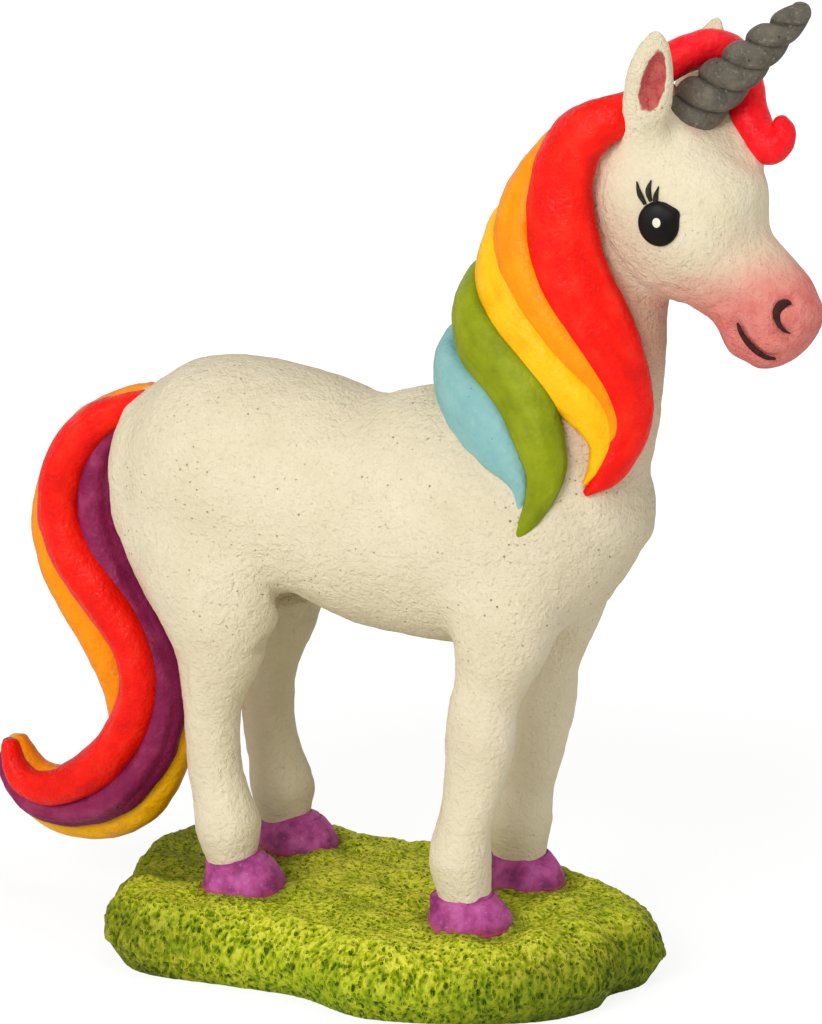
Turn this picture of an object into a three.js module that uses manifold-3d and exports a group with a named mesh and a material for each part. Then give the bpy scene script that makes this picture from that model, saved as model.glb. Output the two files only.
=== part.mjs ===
// Aquarium ornament: a unicorn with a rainbow mane and tail, standing on a patch of turf.
// Cast in resin in sections that are bonded on locating pegs, then painted.
// Millimetres, +Z up. The origin is the centre of the flat underside. The unicorn faces +X,
// its right flank lies towards -Y, and its mane falls on that flank.

import * as THREE from "three";
import { mergeVertices } from "three/addons/utils/BufferGeometryUtils.js";
import Module from "manifold-3d";

// Fits between castings
const GLUE_GAP = 0.3;
const PEG_CLEARANCE = 0.3;

// Turf base
const BASE_LENGTH = 73;
const BASE_WIDTH = 48;
const BASE_HEIGHT = 10.2;
const BASE_FOOT_INSET = 2.2;
const BASE_EDGE_ROUND = 6.4;
const CLUMP_WIDTH = 4.6;
const CLUMP_HEIGHT = 0.6;

// Hooves and their stance
const HOOF_LENGTH = 10.8;
const HOOF_WIDTH = 9.6;
const HOOF_HEIGHT = 5;
const HOOF_SINK = 1.1;
const CORONET_SETBACK = 1.3;
const STANCE_WIDTH = 17.4;

// Legs, from the turf to the middle of the barrel
const LEG_LENGTH = 51.8;
const CANNON_WIDTH = 7.8;
const LEG_PEG_DIAMETER = 3.6;
const HOOF_PEG_DIAMETER = 3;
const HOOF_PEG_LENGTH = 3;

// Barrel, rump and chest
const BODY_LENGTH = 75.4;
const BODY_WIDTH = 27;
const BODY_DEPTH = 31;
const BODY_SETBACK = 1.6;
const STANCE_LENGTH = 0.43 * BODY_LENGTH;
const LEFT_HIND_SETBACK = 0.8;

// Neck
const NECK_RISE = 53;
const NECK_REACH = 10.5;
const NECK_WIDTH = 16;
const NECK_DEPTH = 23.2;
const NECK_ROOT_SETBACK = 15;
const NECK_ROOT_DROP = 4;
const NECK_PEG_DIAMETER = 6;

// Head, along an axis that slopes down to the muzzle
const HEAD_LENGTH = 36;
const HEAD_WIDTH = 19;
const HEAD_DEPTH = 21;
const HEAD_SLOPE = 44;
const HEAD_FORWARD = 9;
const HEAD_DROP = 7;
const EYE_WIDTH = 4.8;
const EYE_HEIGHT = 5.6;
const EYE_THICKNESS = 1.6;
const NOSTRIL_WIDTH = 1.1;
const MOUTH_GROOVE = 0.9;

// Ears and horn
const EAR_LENGTH = 13.2;
const EAR_WIDTH = 6.2;
const EAR_THICKNESS = 3.4;
const EAR_PEG_DIAMETER = 1.8;
const HORN_LENGTH = 22.3;
const HORN_DIAMETER = 6.9;
const HORN_TIP_DIAMETER = 2.6;
const HORN_TURNS = 3.14;
const HORN_START = 70;
const HORN_GROOVE = 0.5;
const HORN_BULGE = 1.9;
const HORN_SLOPE = 43;
const HORN_PEG_DIAMETER = 3;
const HORN_PEG_LENGTH = 3.2;

// Hair
const MANE_THICKNESS = 4.4;
const MANE_LOCK_WIDTH = 9;
const FORELOCK_THICKNESS = 4.7;
const TAIL_END_HEIGHT = 14;
const TAIL_REACH = 23.4;
const TAIL_LOCK_WIDTH = 5.2;
const TAIL_LOCK_THICKNESS = 5;
const TAIL_PEG_DIAMETER = 2.6;
const TAIL_PEG_LENGTH = 3;

// Facets
const DOME_RINGS = 3;
const BODY_SIDES = 20;
const LEG_SIDES = 12;
const LOCK_SIDES = 10;
const TURF_SIDES = 78;
const PEG_SIDES = 8;

const SIDEWAYS = new THREE.Vector3(0, 1, 0);
const wasm = await Module();
wasm.setup();

// Solids and meshes

function solidOf(geometry) {
  const bare = geometry.clone();
  bare.deleteAttribute("normal");
  bare.deleteAttribute("uv");
  const merged = mergeVertices(bare, 1e-4);
  return new wasm.Manifold(
    new wasm.Mesh({
      numProp: 3,
      vertProperties: merged.getAttribute("position").array,
      triVerts: new Uint32Array(merged.index.array),
    }),
  );
}

// A group with its origin at a place of the ornament.
function groupAt(place, parent) {
  const group = new THREE.Group();
  group.position.copy(parent.worldToLocal(place.clone()));
  parent.add(group);
  return group;
}

// The mesh of a solid, in the frame of the group that holds it.
function addTo(group, name, solid, material) {
  const { vertProperties, triVerts } = solid.getMesh();
  const geometry = new THREE.BufferGeometry();
  geometry.setAttribute("position", new THREE.BufferAttribute(vertProperties, 3));
  geometry.setIndex(new THREE.BufferAttribute(triVerts, 1));
  group.updateWorldMatrix(true, false);
  geometry.applyMatrix4(group.matrixWorld.clone().invert());
  geometry.computeVertexNormals();
  const mesh = new THREE.Mesh(geometry, material.clone());
  mesh.name = name;
  group.add(mesh);
}

// What is left of a casting outside its neighbours: the largest piece, without chips.
function trimmed(solid, ...neighbours) {
  const rest = neighbours.reduce((left, neighbour) => left.subtract(neighbour), solid);
  return rest.decompose().sort((a, b) => b.volume() - a.volume())[0];
}

// A stack of rings, all with the same number of points, closed by a pole at each end.
function ringStack(rings, firstPole, lastPole) {
  const sides = rings[0].length;
  const points = [firstPole, ...rings.flat(), lastPole];
  const last = points.length - 1;
  const at = (ring, side) => 1 + ring * sides + (side % sides);
  const faces = [];
  for (let side = 0; side < sides; side++) {
    faces.push(0, at(0, side + 1), at(0, side));
    for (let ring = 0; ring + 1 < rings.length; ring++) {
      const [a, b] = [at(ring, side), at(ring, side + 1)];
      const [c, d] = [at(ring + 1, side + 1), at(ring + 1, side)];
      faces.push(a, b, d, b, c, d);
    }
    faces.push(last, at(rings.length - 1, side), at(rings.length - 1, side + 1));
  }
  const geometry = new THREE.BufferGeometry().setFromPoints(points);
  geometry.setIndex(faces);
  return solidOf(geometry);
}

// A form with elliptical sections along a smooth spine. Each station has its centre, two half sizes
// and the way out, which is sideways unless stated: across lies along the way out, and deep square to
// it and to the spine. The ends are domes of the stated lengths.
class Form {
  constructor(stations, domes) {
    const curve = (points) => new THREE.CatmullRomCurve3(points, false, "catmullrom");
    this.spine = curve(stations.map((station) => station.at));
    this.sizes = curve(stations.map(({ across, deep }) => new THREE.Vector3(across, deep, 0)));
    this.outs = curve(stations.map((station) => station.out ?? SIDEWAYS));
    this.domes = domes;
  }

  section(t) {
    const along = this.spine.getTangent(t);
    const out = this.outs.getPoint(t);
    out.addScaledVector(along, -out.dot(along)).normalize();
    const size = this.sizes.getPoint(t);
    const square = new THREE.Vector3().crossVectors(along, out);
    return { centre: this.spine.getPoint(t), along, out, square, across: size.x, deep: size.y };
  }

  // A point on the skin and the way out there. The turn is in degrees from the section's way out. Past
  // the end, the last section is carried on.
  onSkin(t, turn, lift = 0) {
    const s = this.section(Math.min(t, 1));
    s.centre.addScaledVector(s.along, Math.max(t - 1, 0) * this.spine.getLength());
    const angle = THREE.MathUtils.degToRad(turn);
    const normal = new THREE.Vector3()
      .addScaledVector(s.out, Math.cos(angle) / s.across)
      .addScaledVector(s.square, Math.sin(angle) / s.deep)
      .normalize();
    const at = s.centre
      .clone()
      .addScaledVector(s.out, Math.cos(angle) * s.across)
      .addScaledVector(s.square, Math.sin(angle) * s.deep)
      .addScaledVector(normal, lift);
    return { at, out: normal };
  }

  // The closed skin, grown outwards all round when it is to cut a neighbour.
  skin({ steps, sides, grow = 0 }) {
    const ring = (section, shift, share) =>
      Array.from({ length: sides }, (_, side) => {
        const angle = (side / sides) * 2 * Math.PI;
        return section.centre
          .clone()
          .addScaledVector(section.along, shift)
          .addScaledVector(section.out, Math.cos(angle) * (section.across + grow) * share)
          .addScaledVector(section.square, Math.sin(angle) * (section.deep + grow) * share);
      });
    const dome = (section, length, sense) => {
      const turns = Array.from({ length: DOME_RINGS }, (_, k) => ((k + 1) / DOME_RINGS) * (Math.PI / 2));
      const reach = (turn) => sense * (grow + length * Math.sin(turn));
      const rings = turns.slice(0, -1).map((turn) => ring(section, reach(turn), Math.cos(turn)));
      const pole = section.centre.clone().addScaledVector(section.along, reach(Math.PI / 2));
      return { rings: length > 0 ? rings : [], pole };
    };
    const sections = Array.from({ length: steps + 1 }, (_, step) => this.section(step / steps));
    const start = dome(sections[0], this.domes[0], -1);
    const end = dome(sections[steps], this.domes[1], 1);
    const shifts = sections.map((_, step) => (step === 0 ? -grow : step === steps ? grow : 0));
    const rings = sections.map((section, step) => ring(section, shifts[step], 1));
    return ringStack([...start.rings.reverse(), ...rings, ...end.rings], start.pole, end.pole);
  }
}

// A round peg from one point to another.
function peg(from, to, diameter) {
  const along = new THREE.Vector3().subVectors(to, from);
  const geometry = new THREE.CylinderGeometry(diameter / 2, diameter / 2, along.length(), PEG_SIDES);
  const turn = new THREE.Quaternion().setFromUnitVectors(SIDEWAYS, along.clone().normalize());
  geometry.applyQuaternion(turn);
  geometry.translate(...new THREE.Vector3().addVectors(from, to).multiplyScalar(0.5).toArray());
  return solidOf(geometry);
}

function socket(from, to, diameter) {
  const past = new THREE.Vector3().subVectors(to, from).setLength(PEG_CLEARANCE).add(to);
  return peg(from, past, diameter + 2 * PEG_CLEARANCE);
}

// Places that the pieces share
const turfTop = BASE_HEIGHT;
const hoofSole = turfTop - HOOF_SINK;
const hoofTop = hoofSole + HOOF_HEIGHT;
const barrelHeight = turfTop + LEG_LENGTH;
const rumpEnd = -BODY_SETBACK - BODY_LENGTH / 2;
const chestEnd = rumpEnd + BODY_LENGTH;
const neckRoot = new THREE.Vector3(chestEnd - NECK_ROOT_SETBACK, 0, barrelHeight - NECK_ROOT_DROP);
const neckTop = neckRoot.clone().add(new THREE.Vector3(NECK_REACH, 0, NECK_RISE));
const headCentre = neckTop.clone().add(new THREE.Vector3(HEAD_FORWARD, 0, -HEAD_DROP));
const headSlope = THREE.MathUtils.degToRad(HEAD_SLOPE);
const headAlong = new THREE.Vector3(Math.cos(headSlope), 0, -Math.sin(headSlope));
const headUp = new THREE.Vector3(Math.sin(headSlope), 0, Math.cos(headSlope));

// Torso: share of the length, then the axis's rise, the width and the depth as shares of their halves.
const torso = new Form(
  [
    [0.075, 0.1, 0.7, 0.68],
    [0.137, 0.11, 0.9, 0.84],
    [0.23, 0.135, 1.02, 0.96],
    [0.363, 0.03, 1.01, 1],
    [0.495, -0.09, 0.99, 0.97],
    [0.628, -0.045, 0.99, 1.07],
    [0.761, 0, 0.98, 1.02],
    [0.86, 0.22, 0.88, 0.86],
    [0.925, 0.38, 0.66, 0.63],
  ].map(([along, rise, across, deep]) => ({
    at: new THREE.Vector3(
      rumpEnd + along * BODY_LENGTH,
      0,
      barrelHeight + (rise * BODY_DEPTH) / 2,
    ),
    across: (across * BODY_WIDTH) / 2,
    deep: (deep * BODY_DEPTH) / 2,
  })),
  [0.075 * BODY_LENGTH, 0.06 * BODY_LENGTH],
);
const torsoSkin = (grow = 0) => torso.skin({ steps: 14, sides: BODY_SIDES, grow });

// Neck: shares of the rise and the reach, then of the half width and half depth at the throat.
const neck = new Form(
  [
    [0, 0, 1.2, 0.9],
    [0.15, 0.1, 1.3, 1.02],
    [0.3, 0.23, 1.27, 1.12],
    [0.45, 0.33, 1.12, 1.13],
    [0.6, 0.46, 1, 1.05],
    [0.755, 0.555, 0.95, 0.9],
    [0.887, 0.74, 0.91, 0.71],
    [1, 1, 0.87, 0.58],
  ].map(([up, forward, across, deep]) => ({
    at: neckRoot.clone().add(new THREE.Vector3(forward * NECK_REACH, 0, up * NECK_RISE)),
    across: (across * NECK_WIDTH) / 2,
    deep: (deep * NECK_DEPTH) / 2,
  })),
  [0, 0.25 * NECK_WIDTH],
);
const neckSkin = (grow = 0) => neck.skin({ steps: 10, sides: BODY_SIDES, grow });

// Head: shares of the length from the cranium's centre, the lift, then of the half width and depth.
const headPoint = (along, up, side = 0) =>
  headCentre
    .clone()
    .addScaledVector(headAlong, along * HEAD_LENGTH)
    .addScaledVector(headUp, (up * HEAD_DEPTH) / 2)
    .addScaledVector(SIDEWAYS, (side * HEAD_WIDTH) / 2);
const head = new Form(
  [
    [-0.33, 0.24, 0.52, 0.6],
    [-0.22, 0.005, 0.86, 0.835],
    [-0.07, -0.09, 1, 0.94],
    [0.12, -0.075, 0.94, 0.955],
    [0.25, -0.145, 0.73, 0.66],
    [0.36, -0.1, 0.62, 0.595],
    [0.47, -0.155, 0.6, 0.65],
    [0.545, -0.155, 0.56, 0.555],
  ].map(([along, lift, across, deep]) => ({
    at: headPoint(along, lift),
    across: (across * HEAD_WIDTH) / 2,
    deep: (deep * HEAD_DEPTH) / 2,
  })),
  [0.21 * HEAD_WIDTH, 0.18 * HEAD_WIDTH],
);

// Seat of the forelock: fills the hollow between it, the horn and the forehead. A row is a place from the
// head's centre, as shares of its length, half width and half depth, then a share of the forelock's thickness.
const forelockSeat = new Form(
  [
    [0.08, 0.46, 1.04, 0.85],
    [0.118, 0.42, 0.84, 1],
    [0.165, 0.37, 0.66, 1],
    [0.207, 0.33, 0.52, 0.8],
  ].map(([forward, aside, up, size]) => ({
    at: headCentre
      .clone()
      .add(new THREE.Vector3(forward * HEAD_LENGTH, (aside * HEAD_WIDTH) / 2, (up * HEAD_DEPTH) / 2)),
    across: (size * FORELOCK_THICKNESS) / 2,
    deep: (size * FORELOCK_THICKNESS) / 2,
  })),
  [0.3 * FORELOCK_THICKNESS, 0.3 * FORELOCK_THICKNESS],
);
const headSkin = (grow = 0) =>
  head
    .skin({ steps: 14, sides: BODY_SIDES, grow })
    .add(forelockSeat.skin({ steps: 6, sides: LOCK_SIDES, grow }));

// Legs: share of the height from the coronet to the barrel's axis, then as shares of half the cannon's
// width: the shift forward from the hoof, the pull in towards the body and the two half sizes.
const FORE_LEG = [
  [0, -0.22, 0, 0.98, 1],
  [0.1, -0.28, 0, 1.12, 1.13],
  [0.19, -0.1, 0, 0.99, 1.05],
  [0.26, 0.1, 0, 0.97, 1.08],
  [0.34, 0.26, 0, 1, 1.18],
  [0.43, 0.41, 0, 1.08, 1.3],
  [0.51, 0.51, 0, 1.08, 1.28],
  [0.58, 0.68, 0.03, 1.08, 1.25],
  [0.69, 0.95, 0.05, 1.28, 1.56],
  [0.8, 1.2, 0.21, 1.42, 1.8],
  [0.9, 1.21, 0.67, 1.35, 1.7],
  [0.98, 1.28, 1.18, 1.1, 1.4],
];
const HIND_LEG = [
  [0, -0.56, 0, 0.93, 0.97],
  [0.09, -0.69, 0, 1, 1.07],
  [0.17, -0.92, 0, 0.9, 0.98],
  [0.25, -1.13, 0, 0.87, 0.94],
  [0.38, -1.22, 0, 0.92, 0.98],
  [0.48, -1.2, 0, 1.12, 1.28],
  [0.585, -1.02, 0.05, 1.36, 1.7],
  [0.69, -1.05, 0.1, 1.6, 2.3],
  [0.8, -1.38, 0.26, 1.75, 2.75],
  [0.9, -1.8, 0.72, 1.6, 2.75],
  [0.98, -1.95, 1.23, 1.3, 2.2],
];

function limbOf(foreOrHind, side) {
  const setback = foreOrHind === "hind" && side > 0 ? LEFT_HIND_SETBACK : 0;
  const hoofX = ((foreOrHind === "fore" ? 1 : -1) * STANCE_LENGTH) / 2 - setback;
  const hoofY = (side * STANCE_WIDTH) / 2;
  const span = barrelHeight - hoofTop;
  const unit = CANNON_WIDTH / 2;
  const leg = new Form(
    (foreOrHind === "fore" ? FORE_LEG : HIND_LEG).map(([up, forward, pull, across, deep]) => ({
      at: new THREE.Vector3(
        hoofX + forward * unit,
        hoofY - side * pull * unit,
        hoofTop + GLUE_GAP + up * span,
      ),
      across: across * unit,
      deep: deep * unit,
    })),
    [0, unit],
  );
  const hoof = new Form(
    [
      [0, 0, 1],
      [0.2, 0.04, 1.02],
      [0.8, 0.92, 0.8],
      [1, 1, 0.735],
    ].map(([up, back, size]) => ({
      at: new THREE.Vector3(hoofX - back * CORONET_SETBACK, hoofY, hoofSole + up * HOOF_HEIGHT),
      across: (size * HOOF_WIDTH) / 2,
      deep: (size * HOOF_LENGTH) / 2,
    })),
    [0, 0],
  );
  return { leg, hoof };
}

const SIDES = { right: -1, left: 1 };
const limbs = ["fore", "hind"].flatMap((end) =>
  Object.entries(SIDES).map(([name, side]) => ({ name: `${name}_${end}`, ...limbOf(end, side) })),
);
const legSkin = (leg, grow = 0) => leg.skin({ steps: 14, sides: LEG_SIDES, grow });
const hoofSkin = (hoof, grow = 0) => hoof.skin({ steps: 3, sides: LEG_SIDES + 4, grow });

// Turf base: a lobed outline, as shares of the half length and half width.
const BASE_OUTLINE = [
  [-1, -0.16],
  [-0.94, -0.6],
  [-0.77, -0.88],
  [-0.4, -0.88],
  [-0.1, -0.88],
  [0.2, -1],
  [0.54, -0.86],
  [0.82, -0.6],
  [0.95, -0.3],
  [0.95, -0.08],
  [1.02, 0.2],
  [0.9, 0.5],
  [0.61, 0.8],
  [0.26, 0.92],
  [-0.16, 0.88],
  [-0.62, 0.88],
  [-0.97, 0.6],
  [-1.08, 0.23],
];

// Clumps of grass all over the turf: two pairs of waves that cross, from -1 to 1.
function clump(p) {
  const wave = (x, y, z, shift) => Math.sin(Math.PI * ((x * p.x + y * p.y + z * p.z) / CLUMP_WIDTH + shift));
  const coarse = wave(0.8, 0.5, 0.4, 0.1) * wave(-0.5, 0.8, 0.3, 0.4);
  return 0.55 * coarse + 0.45 * wave(0.3, -0.75, 0.6, 0) * wave(0.9, 0.2, -0.4, 0.7);
}

// The turf is stepped up a rounded edge, then flattens towards the crown in the middle.
function turf() {
  const points = BASE_OUTLINE.map(
    ([x, y]) => new THREE.Vector3((x * BASE_LENGTH) / 2, (y * BASE_WIDTH) / 2, 0),
  );
  const outline = new THREE.CatmullRomCurve3(points, true, "catmullrom").getPoints(TURF_SIDES).slice(0, -1);
  const ring = (reach, z, turn) =>
    outline.map((p) => {
      const at = p.clone().setLength(reach(p.length())).setZ(z);
      const out = p.clone().setLength(Math.cos(turn)).setZ(Math.sin(turn));
      return at.addScaledVector(out, CLUMP_HEIGHT * clump(at));
    });
  const shoulder = BASE_HEIGHT - BASE_EDGE_ROUND;
  const level = (turn) => shoulder + 0.93 * BASE_EDGE_ROUND * Math.sin(turn);
  const inset = (turn) => BASE_EDGE_ROUND * (1 - Math.cos(turn));
  const turns = [0, 0.2, 0.4, 0.6, 0.8].map((share) => (share * Math.PI) / 2);
  const rounding = turns.map((turn) => ring((far) => far - inset(turn), level(turn), turn));
  const last = turns.at(-1);
  const top = [0.86, 0.72, 0.58, 0.44, 0.3, 0.15].map((share) =>
    ring((far) => share * (far - inset(last)), turfTop - (turfTop - level(last)) * share ** 2, Math.PI / 2),
  );
  const underside = outline.map((p) => p.clone().setLength(p.length() - BASE_FOOT_INSET));
  return ringStack([underside, ...rounding, ...top], new THREE.Vector3(), new THREE.Vector3(0, 0, turfTop));
}

// Horn: a bulging cone with two grooves wound round it together, along its own axis.
const hornSlope = THREE.MathUtils.degToRad(HORN_SLOPE);
const hornAlong = new THREE.Vector3(Math.cos(hornSlope), 0, Math.sin(hornSlope));
const hornRoot = headCentre.clone().add(new THREE.Vector3(-0.062 * HEAD_LENGTH, 0, 0.421 * HEAD_DEPTH));

function hornSkin(grow = 0) {
  const [steps, sides] = [36, 12];
  const square = new THREE.Vector3().crossVectors(hornAlong, SIDEWAYS);
  const radius = (t, angle) => {
    const plain = THREE.MathUtils.lerp(HORN_DIAMETER, HORN_TIP_DIAMETER, t ** HORN_BULGE) / 2;
    const winding = HORN_TURNS * 2 * Math.PI * t - angle - THREE.MathUtils.degToRad(HORN_START);
    const groove = 1 - Math.abs(Math.sin(winding));
    return plain + grow - HORN_GROOVE * groove ** 2 * (1 - 0.5 * t) * Math.min(1, 10 * t);
  };
  const rings = Array.from({ length: steps + 1 }, (_, step) => {
    const t = step / steps;
    return Array.from({ length: sides }, (_, side) => {
      const angle = (side / sides) * 2 * Math.PI;
      return hornRoot
        .clone()
        .addScaledVector(hornAlong, t * HORN_LENGTH)
        .addScaledVector(SIDEWAYS, Math.cos(angle) * radius(t, angle))
        .addScaledVector(square, Math.sin(angle) * radius(t, angle));
    });
  });
  const tip = hornRoot.clone().addScaledVector(hornAlong, HORN_LENGTH + HORN_TIP_DIAMETER / 2 + grow);
  const foot = hornRoot.clone().addScaledVector(hornAlong, -grow);
  return ringStack(rings, foot, tip);
}

// Ears: a leaf that stands on the head, leans outwards and is scooped out on its outer face. The left ear is
// the shorter one.
const earRoot = (side) =>
  headCentre.clone().add(new THREE.Vector3(-0.085 * HEAD_LENGTH, side * 0.37 * HEAD_WIDTH, 0.46 * HEAD_DEPTH));
const earUp = (side) => new THREE.Vector3(0.226, side * 0.27, 0.935).normalize();
const earLength = (side) => (side > 0 ? 0.91 : 1) * EAR_LENGTH;

const earForm = (side) =>
  new Form(
    [
      [-0.36, 0.9, 0.7],
      [0, 1, 0.84],
      [0.3, 1, 1],
      [0.55, 0.9, 0.98],
      [0.78, 0.72, 0.8],
      [0.91, 0.56, 0.6],
      [1, 0.4, 0.32],
    ].map(([up, across, deep]) => ({
      at: earRoot(side).addScaledVector(earUp(side), up * earLength(side)),
      across: (across * EAR_THICKNESS) / 2,
      deep: (deep * EAR_WIDTH) / 2,
      out: new THREE.Vector3(0.35, side, 0),
    })),
    [0, 0.24 * EAR_THICKNESS],
  );
const earScoop = (side) =>
  new Form(
    [
      [0.3, 0.25, 0.3],
      [0.48, 0.55, 0.64],
      [0.68, 0.5, 0.52],
      [0.84, 0.2, 0.2],
    ].map(([up, across, deep]) => ({
      at: earRoot(side)
        .addScaledVector(earUp(side), up * earLength(side))
        .addScaledVector(new THREE.Vector3(0.35, side, 0).normalize(), (0.95 * EAR_THICKNESS) / 2),
      across: (across * EAR_THICKNESS) / 2,
      deep: (deep * EAR_WIDTH) / 2,
      out: new THREE.Vector3(0.35, side, 0),
    })),
    [0.15 * EAR_THICKNESS, 0.15 * EAR_THICKNESS],
  );
const earSkin = (side, grow = 0) => earForm(side).skin({ steps: 9, sides: LOCK_SIDES, grow });

// Eyes: lens-shaped inlays in the sides of the head.
const EYE_PLACE = { along: 0.02, up: -0.06 };
function eyeSkin(side, grow = 0) {
  const geometry = new THREE.SphereGeometry(1, 12, 6);
  geometry.scale(EYE_WIDTH / 2 + grow, EYE_THICKNESS / 2 + grow, EYE_HEIGHT / 2 + grow);
  const centre = headPoint(EYE_PLACE.along, EYE_PLACE.up, side * 0.97);
  geometry.translate(...centre.toArray());
  return solidOf(geometry);
}

// Nostrils and mouth: grooves in the muzzle, cut by thin blades that stand in its skin. A place is a point
// on the skin, the way out there and the share of the width. A blade is as deep in the skin as it is wide.
function groove(places, width) {
  const half = 1.5 * width;
  return new Form(
    places.map(({ at, out, size }) => ({
      at: at.clone().addScaledVector(out, half - (size * width) / 2),
      out,
      across: half,
      deep: (size * width) / 2,
    })),
    [0.3 * width, 0.3 * width],
  ).skin({ steps: 12, sides: 6 });
}
const onMuzzle = (side) => ([t, turn, size]) => ({ ...head.onSkin(t, 90 - side * turn), size });
const nostril = (side) =>
  groove(
    [
      [0.9, 50, 0.6],
      [0.873, 64, 1],
      [0.914, 74, 0.8],
      [0.97, 79, 0.6],
      [1, 76, 0.4],
    ].map(onMuzzle(side)),
    NOSTRIL_WIDTH,
  );
const lip = (side) =>
  [
    [0.77, 118, 0.5],
    [0.83, 123, 1],
    [0.9, 125, 1],
    [1, 123, 1],
  ].map(onMuzzle(side));
const lipFront = (along, up, side) => {
  const at = headPoint(along, up, side);
  return { at, out: at.clone().sub(headPoint(0.55, -0.11)).normalize(), size: 1 };
};
const mouth = groove(
  [
    ...lip(SIDES.right),
    lipFront(0.605, -0.35, -0.33),
    lipFront(0.64, -0.33, 0),
    lipFront(0.605, -0.35, 0.33),
    ...lip(SIDES.left).reverse(),
  ],
  MOUTH_GROOVE,
);

// Mane: locks laid over the crest and down the right side of the neck. A row is a place on the neck's skin
// (share of its length, turn from the left flank over the crest), then the lift and the half thickness as
// shares of half the thickness, and the share of the width.
function maneLock(rows) {
  return new Form(
    rows.map(([t, turn, lift, thick, wide]) => ({
      ...neck.onSkin(t, turn, (lift * MANE_THICKNESS) / 2),
      across: (thick * MANE_THICKNESS) / 2,
      deep: (wide * MANE_LOCK_WIDTH) / 2,
    })),
    [0.23 * MANE_THICKNESS, 0.09 * MANE_THICKNESS],
  );
}

const MANE = {
  mane_lock_red: [
    [1.13, 206, -0.9, 0.7, 0.46],
    [1.1, 188, -0.25, 0.95, 0.58],
    [1.05, 171, 0.15, 1.05, 0.74],
    [0.99, 161, 0.36, 1.1, 0.88],
    [0.9, 165, 0.38, 1.1, 0.96],
    [0.82, 174, 0.36, 1.1, 1],
    [0.745, 184, 0.36, 1.1, 1.03],
    [0.66, 195, 0.36, 1.1, 1.04],
    [0.59, 208, 0.36, 1.1, 0.98],
    [0.53, 220, 0.36, 1.1, 0.88],
    [0.46, 231, 0.36, 1.05, 0.77],
    [0.385, 237, 0.36, 1, 0.67],
    [0.32, 236, 0.36, 0.9, 0.57],
    [0.263, 230, 0.41, 0.7, 0.4],
    [0.218, 221, 0.41, 0.35, 0.1],
  ],
  mane_lock_orange: [
    [1.03, 98, -1.1, 0.6, 0.4],
    [0.95, 118, -0.5, 0.85, 0.5],
    [0.87, 124, -0.1, 0.95, 0.62],
    [0.8, 131, 0.15, 1, 0.72],
    [0.74, 142, 0.28, 1, 0.78],
    [0.695, 152, 0.34, 1, 0.72],
    [0.645, 164, 0.36, 0.98, 0.64],
    [0.585, 179, 0.36, 0.95, 0.58],
    [0.525, 196, 0.34, 0.92, 0.52],
    [0.475, 211, 0.32, 0.85, 0.43],
    [0.42, 223, 0.3, 0.72, 0.3],
    [0.365, 229, 0.27, 0.4, 0.1],
  ],
  mane_lock_yellow: [
    [0.81, 90, -0.9, 0.6, 0.4],
    [0.73, 108, -0.2, 0.85, 0.55],
    [0.68, 124, 0.15, 0.95, 0.7],
    [0.63, 138, 0.27, 1, 0.8],
    [0.565, 156, 0.3, 1, 0.79],
    [0.505, 176, 0.28, 0.95, 0.7],
    [0.455, 193, 0.25, 0.9, 0.66],
    [0.41, 207, 0.25, 0.9, 0.68],
    [0.37, 217, 0.23, 0.8, 0.57],
    [0.32, 223, 0.23, 0.65, 0.36],
    [0.27, 222, 0.23, 0.45, 0.17],
    [0.24, 219, 0.23, 0.22, 0.06],
  ],
  mane_lock_green: [
    [0.67, 82, -0.9, 0.6, 0.44],
    [0.61, 103, 0.1, 0.9, 0.58],
    [0.55, 119, 0.45, 1.05, 0.72],
    [0.51, 131, 0.55, 1.1, 0.84],
    [0.47, 147, 0.55, 1.1, 0.9],
    [0.43, 165, 0.45, 1.05, 0.88],
    [0.38, 179, 0.41, 1, 0.85],
    [0.32, 189, 0.41, 1, 0.75],
    [0.25, 196, 0.45, 1, 0.58],
    [0.19, 196, 0.5, 0.9, 0.42],
    [0.13, 193, 0.55, 0.7, 0.27],
    [0.08, 187, 0.55, 0.3, 0.08],
  ],
  mane_lock_blue: [
    [0.51, 78, -0.9, 0.6, 0.44],
    [0.445, 98, 0.2, 0.9, 0.62],
    [0.4, 112, 0.6, 1, 0.8],
    [0.365, 131, 0.6, 1, 0.92],
    [0.325, 151, 0.5, 0.95, 0.95],
    [0.275, 167, 0.41, 0.9, 0.74],
    [0.23, 180, 0.41, 0.75, 0.44],
    [0.19, 186, 0.45, 0.5, 0.23],
    [0.145, 187, 0.5, 0.25, 0.07],
  ],
};
const maneForms = Object.entries(MANE).map(([name, rows]) => ({ name, form: maneLock(rows) }));
const lockSkin = (form, grow = 0) => form.skin({ steps: 18, sides: LOCK_SIDES, grow });

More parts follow.
